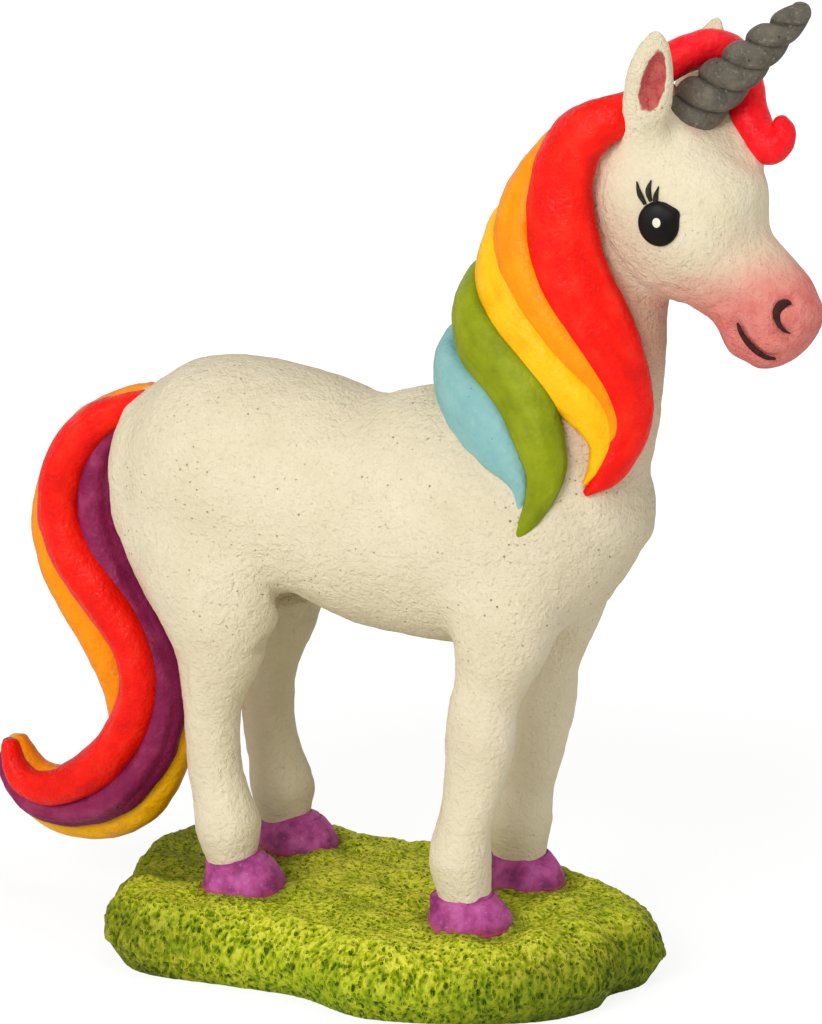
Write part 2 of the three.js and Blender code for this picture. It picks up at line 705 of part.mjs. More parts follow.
// Forelock: from the poll over the crown, down beside the horn and up again in a curl. A row is a place
// from the head's centre, as shares of its length, half width and half depth, then shares of the thickness.
const forelock = new Form(
  [
    [-0.13, 0.03, 1.41, 0.9, 0.8],
    [-0.06, 0.08, 1.65, 1.05, 0.95],
    [0.04, 0.32, 1.78, 1.05, 0.95],
    [0.1, 0.55, 1.68, 1.05, 0.95],
    [0.137, 0.56, 1.33, 1.05, 1.12],
    [0.17, 0.44, 1.03, 1.05, 1.1],
    [0.209, 0.37, 0.8, 1, 1.02],
    [0.25, 0.33, 0.67, 0.9, 0.95],
    [0.3, 0.32, 0.71, 0.8, 0.7],
    [0.31, 0.32, 0.88, 0.6, 0.55],
    [0.29, 0.32, 0.97, 0.35, 0.35],
  ].map(([forward, aside, up, across, deep]) => ({
    at: headCentre
      .clone()
      .add(new THREE.Vector3(forward * HEAD_LENGTH, (aside * HEAD_WIDTH) / 2, (up * HEAD_DEPTH) / 2)),
    across: (across * FORELOCK_THICKNESS) / 2,
    deep: (deep * FORELOCK_THICKNESS) / 2,
  })),
  [0.21 * FORELOCK_THICKNESS, 0.13 * FORELOCK_THICKNESS],
);
const forelockSkin = (grow = 0) => forelock.skin({ steps: 18, sides: LOCK_SIDES, grow });

// Tail: a bundle of four locks along one S-shaped path with a curled end. A row is the share of the reach
// back from the root and of the drop, then the half size of a lock as a share.
const tailRoot = new THREE.Vector3(rumpEnd + 0.074 * BODY_LENGTH, 0, barrelHeight + 0.355 * BODY_DEPTH);
const tailDrop = tailRoot.z - TAIL_END_HEIGHT;
const TAIL_PATH = [
  [0, 0.02, 0.7],
  [0.14, 0.035, 0.75],
  [0.28, 0.065, 0.95],
  [0.42, 0.118, 1.05],
  [0.515, 0.185, 1.1],
  [0.55, 0.255, 1.14],
  [0.535, 0.32, 1.18],
  [0.45, 0.39, 1.2],
  [0.315, 0.455, 1.2],
  [0.185, 0.52, 1.18],
  [0.085, 0.59, 1.15],
  [0.05, 0.66, 1.12],
  [0.09, 0.74, 1.1],
  [0.2, 0.82, 1.12],
  [0.38, 0.893, 1.1],
  [0.59, 0.945, 0.98],
  [0.78, 0.955, 0.84],
  [0.905, 0.922, 0.7],
  [0.955, 0.87, 0.5],
];

// A lock lies aside from the path, and beside it towards the body by a shift that varies along it.
const TAIL_LOCKS = {
  tail_lock_red: {
    aside: -0.52,
    shifts: TAIL_PATH.map(() => 0),
  },
  tail_lock_purple: {
    aside: -0.12,
    shifts: [
      0.2, 0.25, 0.4, 0.65, 0.82, 0.88, 0.86, 0.72, 0.45, 0.32,
      0.36, 0.5, 0.68, 0.8, 0.87, 0.74, 0.6, 0.4, 0.1,
    ],
  },
  tail_lock_orange: {
    aside: 0.16,
    shifts: [
      -0.1, -0.1, -0.05, -0.16, -0.26, -0.4, -0.63, -0.86, -1.02, -1.13,
      -1.18, -1.08, -0.66, -0.05, 0.2, 0.08, -0.1, -0.16, -0.1,
    ],
  },
  tail_lock_gold: {
    aside: 0.55,
    shifts: [
      0.1, 0.15, 0.2, 0.35, 0.4, 0.4, 0.35, 0.25, 0.1, 0.05,
      0.15, 0.35, 0.75, 1.1, 1.4, 1.28, 0.95, 0.5, 0.1,
    ],
  },
};
function tailLock({ aside, shifts }) {
  const centres = TAIL_PATH.map(
    ([back, drop]) => new THREE.Vector3(tailRoot.x - back * TAIL_REACH, 0, tailRoot.z - drop * tailDrop),
  );
  const path = new THREE.CatmullRomCurve3(centres, false, "catmullrom");
  return new Form(
    TAIL_PATH.map(([, , size], k) => {
      const along = path.getTangent(k / (TAIL_PATH.length - 1));
      const inward = new THREE.Vector3().crossVectors(along, SIDEWAYS);
      const at = centres[k]
        .clone()
        .addScaledVector(SIDEWAYS, aside * TAIL_LOCK_THICKNESS * Math.min(size, 1))
        .addScaledVector(inward, shifts[k] * TAIL_LOCK_WIDTH);
      return { at, across: (size * TAIL_LOCK_THICKNESS) / 2, deep: (size * TAIL_LOCK_WIDTH) / 2 };
    }),
    [0.2 * TAIL_LOCK_THICKNESS, 0.16 * TAIL_LOCK_THICKNESS],
  );
}
const tailForms = Object.entries(TAIL_LOCKS).map(([name, place]) => ({ name, form: tailLock(place) }));

// Paints
const paint = (color, roughness = 0.7) =>
  new THREE.MeshStandardMaterial({ color, roughness, metalness: 0 });
const PAINT = {
  white: paint(0xe9e0cd, 0.8),
  turf: paint(0x8fa51f, 0.85),
  hoof: paint(0x97388f, 0.5),
  horn: paint(0x6d6a64, 0.75),
  eye: paint(0x0d0a08, 0.3),
  red: paint(0xef1f18, 0.45),
  orange: paint(0xff9a05, 0.45),
  yellow: paint(0xfcbb1d, 0.45),
  green: paint(0x8aa212, 0.5),
  blue: paint(0x8ccbdc, 0.6),
  purple: paint(0x8c2a78, 0.5),
};
const LOCK_PAINT = {
  mane_lock_red: PAINT.red,
  mane_lock_orange: PAINT.orange,
  mane_lock_yellow: PAINT.yellow,
  mane_lock_green: PAINT.green,
  mane_lock_blue: PAINT.blue,
  tail_lock_red: PAINT.red,
  tail_lock_purple: PAINT.purple,
  tail_lock_orange: PAINT.orange,
  tail_lock_gold: PAINT.yellow,
};

// Assembly: the stand and the body in the ornament, the head and the tail on the body. Each casting is
// trimmed by those that it is bonded to, grown by the glue gap.
const ornament = new THREE.Group();
const stand = groupAt(new THREE.Vector3(0, 0, turfTop), ornament);
const body = groupAt(new THREE.Vector3(0, 0, barrelHeight), ornament);
const headGroup = groupAt(headCentre, body);
const tail = groupAt(tailRoot, body);

// Base with a pocket for each hoof
const pockets = limbs.map(({ hoof }) => hoofSkin(hoof, GLUE_GAP));
addTo(stand, "turf_base", trimmed(turf(), ...pockets), PAINT.turf);

// Hooves and legs, with a peg down into the hoof and one up into the torso
let torsoSolid = torsoSkin();
for (const { name, leg, hoof } of limbs) {
  const ankle = leg.section(0).centre;
  const ankleEnd = ankle.clone().setZ(hoofTop - HOOF_PEG_LENGTH);
  const inLeg = leg.section(0.15).centre;
  const [thigh, hip] = [leg.section(0.68).centre, leg.section(0.88).centre];
  const bored = hoofSkin(hoof).subtract(socket(inLeg, ankleEnd, HOOF_PEG_DIAMETER));
  addTo(stand, `${name}_hoof`, bored, PAINT.hoof);
  const bare = trimmed(legSkin(leg), torsoSkin(GLUE_GAP), hoofSkin(hoof, GLUE_GAP));
  const pegged = bare.add(peg(inLeg, ankleEnd, HOOF_PEG_DIAMETER)).add(peg(thigh, hip, LEG_PEG_DIAMETER));
  addTo(stand, `${name}_leg`, pegged, PAINT.white);
  torsoSolid = torsoSolid.subtract(socket(thigh, hip, LEG_PEG_DIAMETER));
}

// Neck, pegged into the torso below and into the head above
const torsoPeg = [neck.section(0.45).centre, neck.section(0.02).centre];
const headPeg = [neck.section(0.75).centre, headPoint(-0.1, 0)];
const legsGrown = limbs.map(({ leg }) => legSkin(leg, GLUE_GAP));
const bareNeck = trimmed(neckSkin(), torsoSkin(GLUE_GAP), headSkin(GLUE_GAP), ...legsGrown);
const neckSolid = bareNeck.add(peg(...torsoPeg, NECK_PEG_DIAMETER)).add(peg(...headPeg, NECK_PEG_DIAMETER));
addTo(body, "neck", neckSolid, PAINT.white);
torsoSolid = torsoSolid.subtract(socket(...torsoPeg, NECK_PEG_DIAMETER));

// Head with its features and the things that stand in it
const hornPeg = [
  hornRoot.clone().addScaledVector(hornAlong, HORN_LENGTH / 3),
  hornRoot.clone().addScaledVector(hornAlong, -HORN_PEG_LENGTH),
];
const bareHorn = trimmed(hornSkin(), headSkin(GLUE_GAP));
addTo(headGroup, "horn", bareHorn.add(peg(...hornPeg, HORN_PEG_DIAMETER)), PAINT.horn);
let headSolid = headSkin()
  .subtract(socket(...headPeg, NECK_PEG_DIAMETER))
  .subtract(socket(...hornPeg, HORN_PEG_DIAMETER))
  .subtract(mouth);
for (const [name, side] of Object.entries(SIDES)) {
  const earPeg = [
    earRoot(side).addScaledVector(earUp(side), EAR_LENGTH / 3),
    earRoot(side).addScaledVector(earUp(side), -EAR_LENGTH / 2),
  ];
  const ear = trimmed(earSkin(side), headSkin(GLUE_GAP), neckSkin(GLUE_GAP), hornSkin(GLUE_GAP));
  const scooped = ear.subtract(earScoop(side).skin({ steps: 6, sides: LOCK_SIDES }));
  addTo(headGroup, `${name}_ear`, scooped.add(peg(...earPeg, EAR_PEG_DIAMETER)), PAINT.white);
  addTo(headGroup, `${name}_eye`, eyeSkin(side), PAINT.eye);
  headSolid = headSolid
    .subtract(socket(...earPeg, EAR_PEG_DIAMETER))
    .subtract(eyeSkin(side, GLUE_GAP))
    .subtract(nostril(side));
}
addTo(headGroup, "head", trimmed(headSolid), PAINT.white);

// Forelock and mane. Each lock is trimmed by what it lies on and by the locks above it.
const carriers = [torsoSkin(GLUE_GAP), neckSkin(GLUE_GAP), headSkin(GLUE_GAP), hornSkin(GLUE_GAP)];
carriers.push(earSkin(SIDES.right, GLUE_GAP), earSkin(SIDES.left, GLUE_GAP), ...legsGrown);
addTo(headGroup, "forelock", trimmed(forelockSkin(), ...carriers), PAINT.red);
carriers.push(forelockSkin(GLUE_GAP));
for (const { name, form } of maneForms) {
  addTo(body, name, trimmed(lockSkin(form), ...carriers), LOCK_PAINT[name]);
  carriers.push(lockSkin(form, GLUE_GAP));
}

// Tail, pegged into the rump by its red lock
const dock = tailForms[0].form.section(0);
const tailPeg = [
  tailForms[0].form.section(0.14).centre,
  dock.centre.clone().addScaledVector(dock.along, -TAIL_PEG_LENGTH),
];
const tailCarriers = [torsoSkin(GLUE_GAP), ...legsGrown];
for (const { name, form } of tailForms) {
  const bare = trimmed(lockSkin(form), ...tailCarriers);
  const pegged = form === tailForms[0].form ? bare.add(peg(...tailPeg, TAIL_PEG_DIAMETER)) : bare;
  addTo(tail, name, pegged, LOCK_PAINT[name]);
  tailCarriers.push(lockSkin(form, GLUE_GAP));
}
torsoSolid = torsoSolid.subtract(socket(...tailPeg, TAIL_PEG_DIAMETER));
addTo(body, "torso", torsoSolid, PAINT.white);

export default ornament;
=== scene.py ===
"""Looks of the aquarium ornament: a painted resin unicorn with a rainbow mane and tail on a patch of turf.

Tables hold millimetres or shares of the named sizes, as in the part's own source. Meshes are in metres, in
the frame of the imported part: +Z up, the unicorn faces +X and its right flank lies towards -Y.
"""

import math

import bpy
import numpy as np
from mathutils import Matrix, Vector


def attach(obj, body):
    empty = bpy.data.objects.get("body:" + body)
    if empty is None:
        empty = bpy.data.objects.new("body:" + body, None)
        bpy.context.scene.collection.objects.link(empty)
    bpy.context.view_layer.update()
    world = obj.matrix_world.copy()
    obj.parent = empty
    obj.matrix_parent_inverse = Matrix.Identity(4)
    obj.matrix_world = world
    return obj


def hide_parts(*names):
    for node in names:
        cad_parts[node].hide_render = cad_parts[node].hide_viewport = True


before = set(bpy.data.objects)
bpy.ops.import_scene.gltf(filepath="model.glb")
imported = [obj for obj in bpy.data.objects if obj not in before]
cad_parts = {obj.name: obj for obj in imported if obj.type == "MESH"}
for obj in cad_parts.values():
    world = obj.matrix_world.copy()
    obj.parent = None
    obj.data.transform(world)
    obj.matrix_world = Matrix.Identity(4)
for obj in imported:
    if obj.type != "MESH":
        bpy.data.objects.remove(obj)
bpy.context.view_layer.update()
scene = bpy.context.scene

MM = 0.001
SIDEWAYS = np.array([0.0, 1.0, 0.0])
SIDES = {"right": -1, "left": 1}

# Sizes in millimetres, angles in radians and shares, as in the part's source
BASE_LENGTH, BASE_WIDTH, BASE_HEIGHT = 73, 48, 10.2
BASE_FOOT_INSET, BASE_EDGE_ROUND, CLUMP_WIDTH, CLUMP_HEIGHT = 2.2, 6.4, 4.6, 0.6
HOOF_LENGTH, HOOF_WIDTH, HOOF_HEIGHT, HOOF_SINK, CORONET_SETBACK = 10.8, 9.6, 5, 1.1, 1.3
LEG_LENGTH, CANNON_WIDTH = 51.8, 7.8
BODY_LENGTH, BODY_WIDTH, BODY_DEPTH, BODY_SETBACK = 75.4, 27, 31, 1.6
STANCE_LENGTH, STANCE_WIDTH, LEFT_HIND_SETBACK = 0.43 * BODY_LENGTH, 17.4, 0.8
NECK_RISE, NECK_REACH, NECK_WIDTH, NECK_DEPTH = 53, 10.5, 16, 23.2
NECK_ROOT_SETBACK, NECK_ROOT_DROP = 15, 4
HEAD_LENGTH, HEAD_WIDTH, HEAD_DEPTH, HEAD_SLOPE = 36, 19, 21, math.radians(44)
HEAD_FORWARD, HEAD_DROP, POLL_DOME, MUZZLE_DOME = 9, 7, 4, 3.4
EYE_WIDTH, EYE_HEIGHT = 5.1, 5.5
EAR_LENGTH, EAR_WIDTH, EAR_THICKNESS, LEFT_EAR_SHARE = 13.2, 6.2, 3.4, 0.91
HORN_LENGTH, HORN_DIAMETER, HORN_TIP_DIAMETER, HORN_TURNS = 22.3, 6.9, 2.6, 3.14
HORN_GROOVE, HORN_BULGE, HORN_SLOPE, HORN_START = 0.5, 1.9, math.radians(43), math.radians(70)
MANE_THICKNESS, MANE_LOCK_WIDTH, FORELOCK_THICKNESS = 4.4, 9, 4.7
TAIL_END_HEIGHT, TAIL_REACH, TAIL_LOCK_WIDTH, TAIL_LOCK_THICKNESS = 14, 23.4, 5.2, 5

# How finely skins are made: voxels in millimetres, rounds of the fillets, and the share of a spine for its
# slope
CASTING_VOXEL, TURF_VOXEL, CURL_VOXEL = 0.47, 0.295, 0.24
FILLET_ROUNDS, SPINE_STEP = 220, 1e-4
# Dents of the hair: depth and size of each noise, in millimetres
HAIR_DENTS = (0.3, 2.6), (0.12, 1.1)

# Places that the pieces share
TURF_TOP = BASE_HEIGHT
HOOF_SOLE = TURF_TOP - HOOF_SINK
HOOF_TOP = HOOF_SOLE + HOOF_HEIGHT
BARREL_HEIGHT = TURF_TOP + LEG_LENGTH
RUMP_END = -BODY_SETBACK - BODY_LENGTH / 2
CHEST_END = RUMP_END + BODY_LENGTH
NECK_ROOT = np.array([CHEST_END - NECK_ROOT_SETBACK, 0, BARREL_HEIGHT - NECK_ROOT_DROP])
HEAD_CENTRE = NECK_ROOT + [NECK_REACH + HEAD_FORWARD, 0, NECK_RISE - HEAD_DROP]
HEAD_ALONG = np.array([math.cos(HEAD_SLOPE), 0, -math.sin(HEAD_SLOPE)])
HEAD_UP = np.array([math.sin(HEAD_SLOPE), 0, math.cos(HEAD_SLOPE)])
HORN_ALONG = np.array([math.cos(HORN_SLOPE), 0, math.sin(HORN_SLOPE)])
HORN_ROOT = HEAD_CENTRE + [-0.062 * HEAD_LENGTH, 0, 0.421 * HEAD_DEPTH]
TAIL_ROOT = np.array([RUMP_END + 0.074 * BODY_LENGTH, 0, BARREL_HEIGHT + 0.355 * BODY_DEPTH])

# Torso: share of the length, rise of the axis, width and depth as shares of their halves
TORSO = [
    (0.075, 0.1, 0.7, 0.68),
    (0.137, 0.11, 0.9, 0.84),
    (0.23, 0.135, 1.02, 0.96),
    (0.363, 0.03, 1.01, 1),
    (0.495, -0.09, 0.99, 0.97),
    (0.628, -0.045, 0.99, 1.07),
    (0.761, 0, 0.98, 1.02),
    (0.86, 0.22, 0.88, 0.86),
    (0.925, 0.38, 0.66, 0.63),
]
# Neck: shares of the rise and the reach, then of the half width and half depth
NECK = [
    (0, 0, 1.2, 0.9),
    (0.15, 0.1, 1.3, 1.02),
    (0.3, 0.23, 1.27, 1.12),
    (0.45, 0.33, 1.12, 1.13),
    (0.6, 0.46, 1, 1.05),
    (0.755, 0.555, 0.95, 0.9),
    (0.887, 0.74, 0.91, 0.71),
    (1, 1, 0.87, 0.58),
]
# Head: share of the length from the cranium's centre, lift, half width and half depth
HEAD = [
    (-0.33, 0.24, 0.52, 0.6),
    (-0.22, 0.005, 0.86, 0.835),
    (-0.07, -0.09, 1, 0.94),
    (0.12, -0.075, 0.94, 0.955),
    (0.25, -0.145, 0.73, 0.66),
    (0.36, -0.1, 0.62, 0.595),
    (0.47, -0.155, 0.6, 0.65),
    (0.545, -0.155, 0.56, 0.555),
]
# Legs: share of the height, then in halves of the cannon's width the shift forward, the pull inwards and the
# half sizes across and deep
LEGS = {
    "fore": [
        (-0.03, -0.22, 0, 0.86, 0.88),
        (0, -0.22, 0, 0.92, 0.94),
        (0.09, -0.28, 0, 1.15, 1.16),
        (0.19, -0.1, 0, 0.99, 1.05),
        (0.26, 0.1, 0, 0.97, 1.08),
        (0.34, 0.26, 0, 1, 1.18),
        (0.43, 0.41, 0, 1.08, 1.3),
        (0.51, 0.51, 0, 1.08, 1.28),
        (0.58, 0.68, 0.03, 1.08, 1.25),
        (0.69, 0.95, 0.05, 1.28, 1.56),
        (0.8, 1.2, 0.21, 1.42, 1.8),
        (0.9, 1.21, 0.67, 1.35, 1.7),
        (0.98, 1.28, 1.18, 1.1, 1.4),
    ],
    "hind": [
        (-0.03, -0.56, 0, 0.82, 0.84),
        (0, -0.56, 0, 0.88, 0.9),
        (0.08, -0.66, 0, 1.07, 1.14),
        (0.17, -0.92, 0, 0.9, 0.98),
        (0.25, -1.13, 0, 0.87, 0.94),
        (0.38, -1.22, 0, 0.92, 0.98),
        (0.48, -1.2, 0, 1.12, 1.28),
        (0.585, -1.02, 0.05, 1.36, 1.7),
        (0.69, -1.05, 0.1, 1.6, 2.3),
        (0.8, -1.38, 0.26, 1.75, 2.75),
        (0.9, -1.8, 0.72, 1.6, 2.75),
        (0.98, -1.95, 1.23, 1.3, 2.2),
    ],
}
# Hoof: share of the height, of the setback and of the size
HOOF = [
    (0, 0.4, 1.06),
    (0.12, 0.4, 1.08),
    (0.3, 0.48, 1.04),
    (0.78, 0.92, 0.82),
    (0.93, 1, 0.73),
    (1.02, 1.05, 0.58),
]
# Ear: share of the length, half thickness and half width
EAR = [
    (-0.36, 0.9, 0.7),
    (0, 1, 0.84),
    (0.3, 1, 1),
    (0.55, 0.9, 0.98),
    (0.78, 0.72, 0.8),
    (0.91, 0.56, 0.6),
    (1, 0.4, 0.32),
]
# Turf outline: shares of the half length and half width
BASE_OUTLINE = [
    (-1, -0.16),
    (-0.94, -0.6),
    (-0.77, -0.88),
    (-0.4, -0.88),
    (-0.1, -0.88),
    (0.2, -1),
    (0.54, -0.86),
    (0.82, -0.6),
    (0.95, -0.3),
    (0.95, -0.08),
    (1.02, 0.2),
    (0.9, 0.5),
    (0.61, 0.8),
    (0.26, 0.92),
    (-0.16, 0.88),
    (-0.62, 0.88),
    (-0.97, 0.6),
    (-1.08, 0.23),
]
# Mane: place on the neck's skin as a share of its length and a turn in degrees over the crest, then lift and
# thickness in halves of the hair's thickness, and width
MANE = {
    "red": [
        (1.13, 206, -0.9, 0.7, 0.46),
        (1.1, 188, 0.14, 0.95, 0.58),
        (1.05, 171, 0.5, 1.05, 0.74),
        (0.99, 161, 0.5, 1.1, 0.88),
        (0.9, 165, 0.38, 1.1, 0.96),
        (0.82, 174, 0.36, 1.1, 1),
        (0.745, 184, 0.36, 1.1, 1.03),
        (0.66, 195, 0.36, 1.1, 1.04),
        (0.59, 208, 0.36, 1.1, 0.98),
        (0.53, 220, 0.36, 1.1, 0.88),
        (0.46, 231, 0.36, 1.05, 0.77),
        (0.385, 237, 0.36, 1, 0.67),
        (0.32, 236, 0.36, 0.9, 0.57),
        (0.263, 230, 0.41, 0.7, 0.4),
        (0.218, 221, 0.41, 0.35, 0.1),
    ],
    "orange": [
        (1.02, 100, -1.7, 0.6, 0.4),
        (0.95, 118, -0.5, 0.85, 0.5),
        (0.87, 124, -0.1, 0.95, 0.62),
        (0.8, 131, 0.15, 1, 0.72),
        (0.74, 142, 0.28, 1, 0.78),
        (0.695, 152, 0.34, 1, 0.72),
        (0.645, 164, 0.36, 0.98, 0.64),
        (0.585, 179, 0.36, 0.95, 0.58),
        (0.525, 196, 0.34, 0.92, 0.52),
        (0.475, 211, 0.32, 0.85, 0.43),
        (0.42, 222, 0.31, 0.8, 0.38),
        (0.365, 228, 0.31, 0.74, 0.34),
        (0.31, 230, 0.3, 0.62, 0.26),
        (0.265, 226, 0.28, 0.42, 0.15),
        (0.238, 221, 0.25, 0.2, 0.06),
    ],
    "yellow": [
        (0.81, 90, -0.9, 0.6, 0.4),
        (0.73, 108, -0.2, 0.85, 0.55),
        (0.68, 124, 0.15, 0.95, 0.7),
        (0.63, 138, 0.27, 1, 0.8),
        (0.565, 156, 0.3, 1, 0.79),
        (0.505, 176, 0.28, 0.95, 0.7),
        (0.455, 193, 0.25, 0.9, 0.66),
        (0.41, 207, 0.25, 0.9, 0.68),
        (0.37, 217, 0.23, 0.8, 0.57),
        (0.32, 223, 0.23, 0.65, 0.36),
        (0.27, 222, 0.23, 0.45, 0.17),
        (0.24, 219, 0.23, 0.22, 0.06),
    ],
    "green": [
        (0.67, 82, -0.9, 0.6, 0.44),
        (0.61, 103, 0.1, 0.9, 0.58),
        (0.55, 119, 0.45, 1.05, 0.72),
        (0.51, 131, 0.55, 1.1, 0.84),
        (0.47, 147, 0.55, 1.1, 0.9),
        (0.43, 165, 0.45, 1.05, 0.88),
        (0.38, 179, 0.41, 1, 0.85),
        (0.32, 189, 0.41, 1, 0.75),
        (0.25, 196, 0.45, 1, 0.58),
        (0.19, 196, 0.5, 0.9, 0.42),
        (0.13, 193, 0.55, 0.7, 0.27),
        (0.064, 185, 0.55, 0.3, 0.08),
    ],
    "blue": [
        (0.51, 78, -0.9, 0.6, 0.44),
        (0.445, 98, 0.2, 0.9, 0.62),
        (0.4, 112, 0.6, 1, 0.8),
        (0.365, 131, 0.6, 1, 0.92),
        (0.325, 151, 0.5, 0.95, 0.95),
        (0.275, 167, 0.41, 0.9, 0.74),
        (0.23, 180, 0.41, 0.75, 0.44),
        (0.19, 186, 0.45, 0.5, 0.23),
        (0.145, 187, 0.5, 0.25, 0.07),
    ],
}
# Forelock: place from the head's centre in its length, half width and half depth, then half sizes across
# and deep
FORELOCK = [
    (-0.13, 0.03, 1.41, 0.9, 0.8),
    (-0.06, 0.08, 1.65, 1.05, 0.95),
    (0.04, 0.32, 1.78, 1.05, 0.95),
    (0.1, 0.55, 1.68, 1.05, 0.95),
    (0.137, 0.56, 1.33, 1.05, 1.12),
    (0.17, 0.44, 1.03, 1.05, 1.1),
    (0.209, 0.37, 0.82, 1, 1.04),
    (0.25, 0.33, 0.69, 0.95, 1.06),
    (0.292, 0.32, 0.745, 0.9, 0.87),
    (0.312, 0.32, 0.87, 0.7, 0.64),
    (0.298, 0.32, 1, 0.45, 0.4),
]
# Seat under the forelock: place from the head's centre and half size, in the forelock's shares
FORELOCK_SEAT = [
    (0.08, 0.46, 1.04, 0.85),
    (0.118, 0.42, 0.84, 1),
    (0.165, 0.37, 0.66, 1),
    (0.207, 0.33, 0.52, 0.8),
]
# Tail: shares of the reach back and of the drop, then the size of a lock
TAIL_PATH = [
    (0, 0.02, 0.7),
    (0.14, 0.035, 0.75),
    (0.28, 0.065, 0.95),
    (0.42, 0.118, 1.05),
    (0.515, 0.185, 1.1),
    (0.55, 0.255, 1.14),
    (0.535, 0.32, 1.2),
    (0.45, 0.39, 1.3),
    (0.315, 0.455, 1.32),
    (0.185, 0.52, 1.24),
    (0.085, 0.59, 1.15),
    (0.05, 0.66, 1.12),
    (0.09, 0.74, 1.1),
    (0.2, 0.82, 1.12),
    (0.38, 0.893, 1.1),
    (0.59, 0.945, 0.98),
    (0.78, 0.955, 0.84),
    (0.905, 0.922, 0.7),
    (0.955, 0.87, 0.5),
]
# Tail locks: share of the thickness aside, then shares of the width towards the body along the path
TAIL_LOCKS = {
    "red": (-0.52, [0] * len(TAIL_PATH)),
    "purple": (
        -0.12,
        [0.2, 0.25, 0.4, 0.65, 0.82, 0.88, 0.86, 0.72, 0.45, 0.32]
        + [0.36, 0.5, 0.68, 0.8, 0.87, 0.74, 0.6, 0.4, 0.1],
    ),
    "orange": (
        0.16,
        [-0.1, -0.1, -0.05, -0.16, -0.26, -0.4, -0.63, -0.86, -1.02, -1.13]
        + [-1.18, -1.08, -0.66, -0.05, 0.2, 0.08, -0.1, -0.16, -0.1],
    ),
    "gold": (
        0.55,
        [0.1, 0.15, 0.2, 0.35, 0.4, 0.4, 0.35, 0.25, 0.1, 0.05]
        + [0.15, 0.35, 0.75, 1.1, 1.4, 1.28, 0.95, 0.5, 0.1],
    ),
}

# Shapes


def unit(v):
    """Vectors scaled to length one along the last axis."""
    return v / np.maximum(np.linalg.norm(v, axis=-1, keepdims=True), 1e-12)


def ease(low, high, x):
    """0 up to low, 1 from high on, and the cubic 3u^2 - 2u^3 of the share u between them."""
    u = np.clip((x - low) / (high - low), 0, 1)
    return u * u * (3 - 2 * u)


def band(x, start, full, last, end):
    """1 from full to last, easing to 0 at start and at end."""
    return ease(start, full, x) * ease(end, last, x)


def most(*layers):
    """The greatest of the layers at each point."""
    return np.maximum.reduce(layers)


def around(count):
    """That many turns, evenly spaced round a ring."""
    return np.linspace(0, 2 * math.pi, count, endpoint=False)


def curve(rows, t, closed=False):
    """Uniform Catmull-Rom curve through the rows at the shares t: in each span a cubic set by the span's two
    rows and the row on either side of them. An open curve's end rows are mirrored outwards."""
    rows = np.asarray(rows, float)
    before = rows[-1:] if closed else 2 * rows[:1] - rows[1:2]
    after = rows[:2] if closed else 2 * rows[-1:] - rows[-2:-1]
    padded = np.vstack([before, rows, after])
    spans = len(padded) - 3
    x = np.clip(t, 0, 1) * spans
    k = np.minimum(x.astype(int), spans - 1)
    u = (x - k)[:, None]
    a, b, c, d = (padded[k + i] for i in range(4))
    return b + 0.5 * u * (c - a + u * (2 * a - 5 * b + 4 * c - d + u * (3 * (b - c) + d - a)))


LATTICE = np.random.default_rng(7).random((48, 48, 48))
SCATTER = np.random.default_rng(11).random((32, 32, 32, 3))


def mottle(points, size):
    """Value noise from 0 to 1: a random value at each corner of cubes of that size, blended by
    3u^2 - 2u^3."""
    q = points / size
    cell = np.floor(q).astype(int)
    u = q - cell
    u = u * u * (3 - 2 * u)
    total = np.zeros(len(q))
    for corner in np.ndindex(2, 2, 2):
        i, j, k = ((cell + corner) % len(LATTICE)).T
        total += np.prod(np.where(corner, u, 1 - u), axis=1) * LATTICE[i, j, k]
    return total


def dents(points, *layers):
    """Sum of noises about 0, each of a depth and a size."""
    return sum(depth * (mottle(points, size) - 0.5) for depth, size in layers)


def nearest_seed(points, size):
    """Distance, in cells of that size, to the nearest of seeds scattered one to a cell."""
    q = points / size
    cell = np.floor(q).astype(int)
    best = np.full(len(q), 9.0)
    for step in np.ndindex(3, 3, 3):
        near = cell + step - np.ones(3, int)
        i, j, k = (near % len(SCATTER)).T
        best = np.minimum(best, ((near + SCATTER[i, j, k] - q) ** 2).sum(1))
    return np.sqrt(best)


def slope_of(path, t):
    """Way along the curve through the path at the shares t."""
    return unit(curve(path, np.minimum(t + SPINE_STEP, 1)) - curve(path, np.maximum(t - SPINE_STEP, 0)))


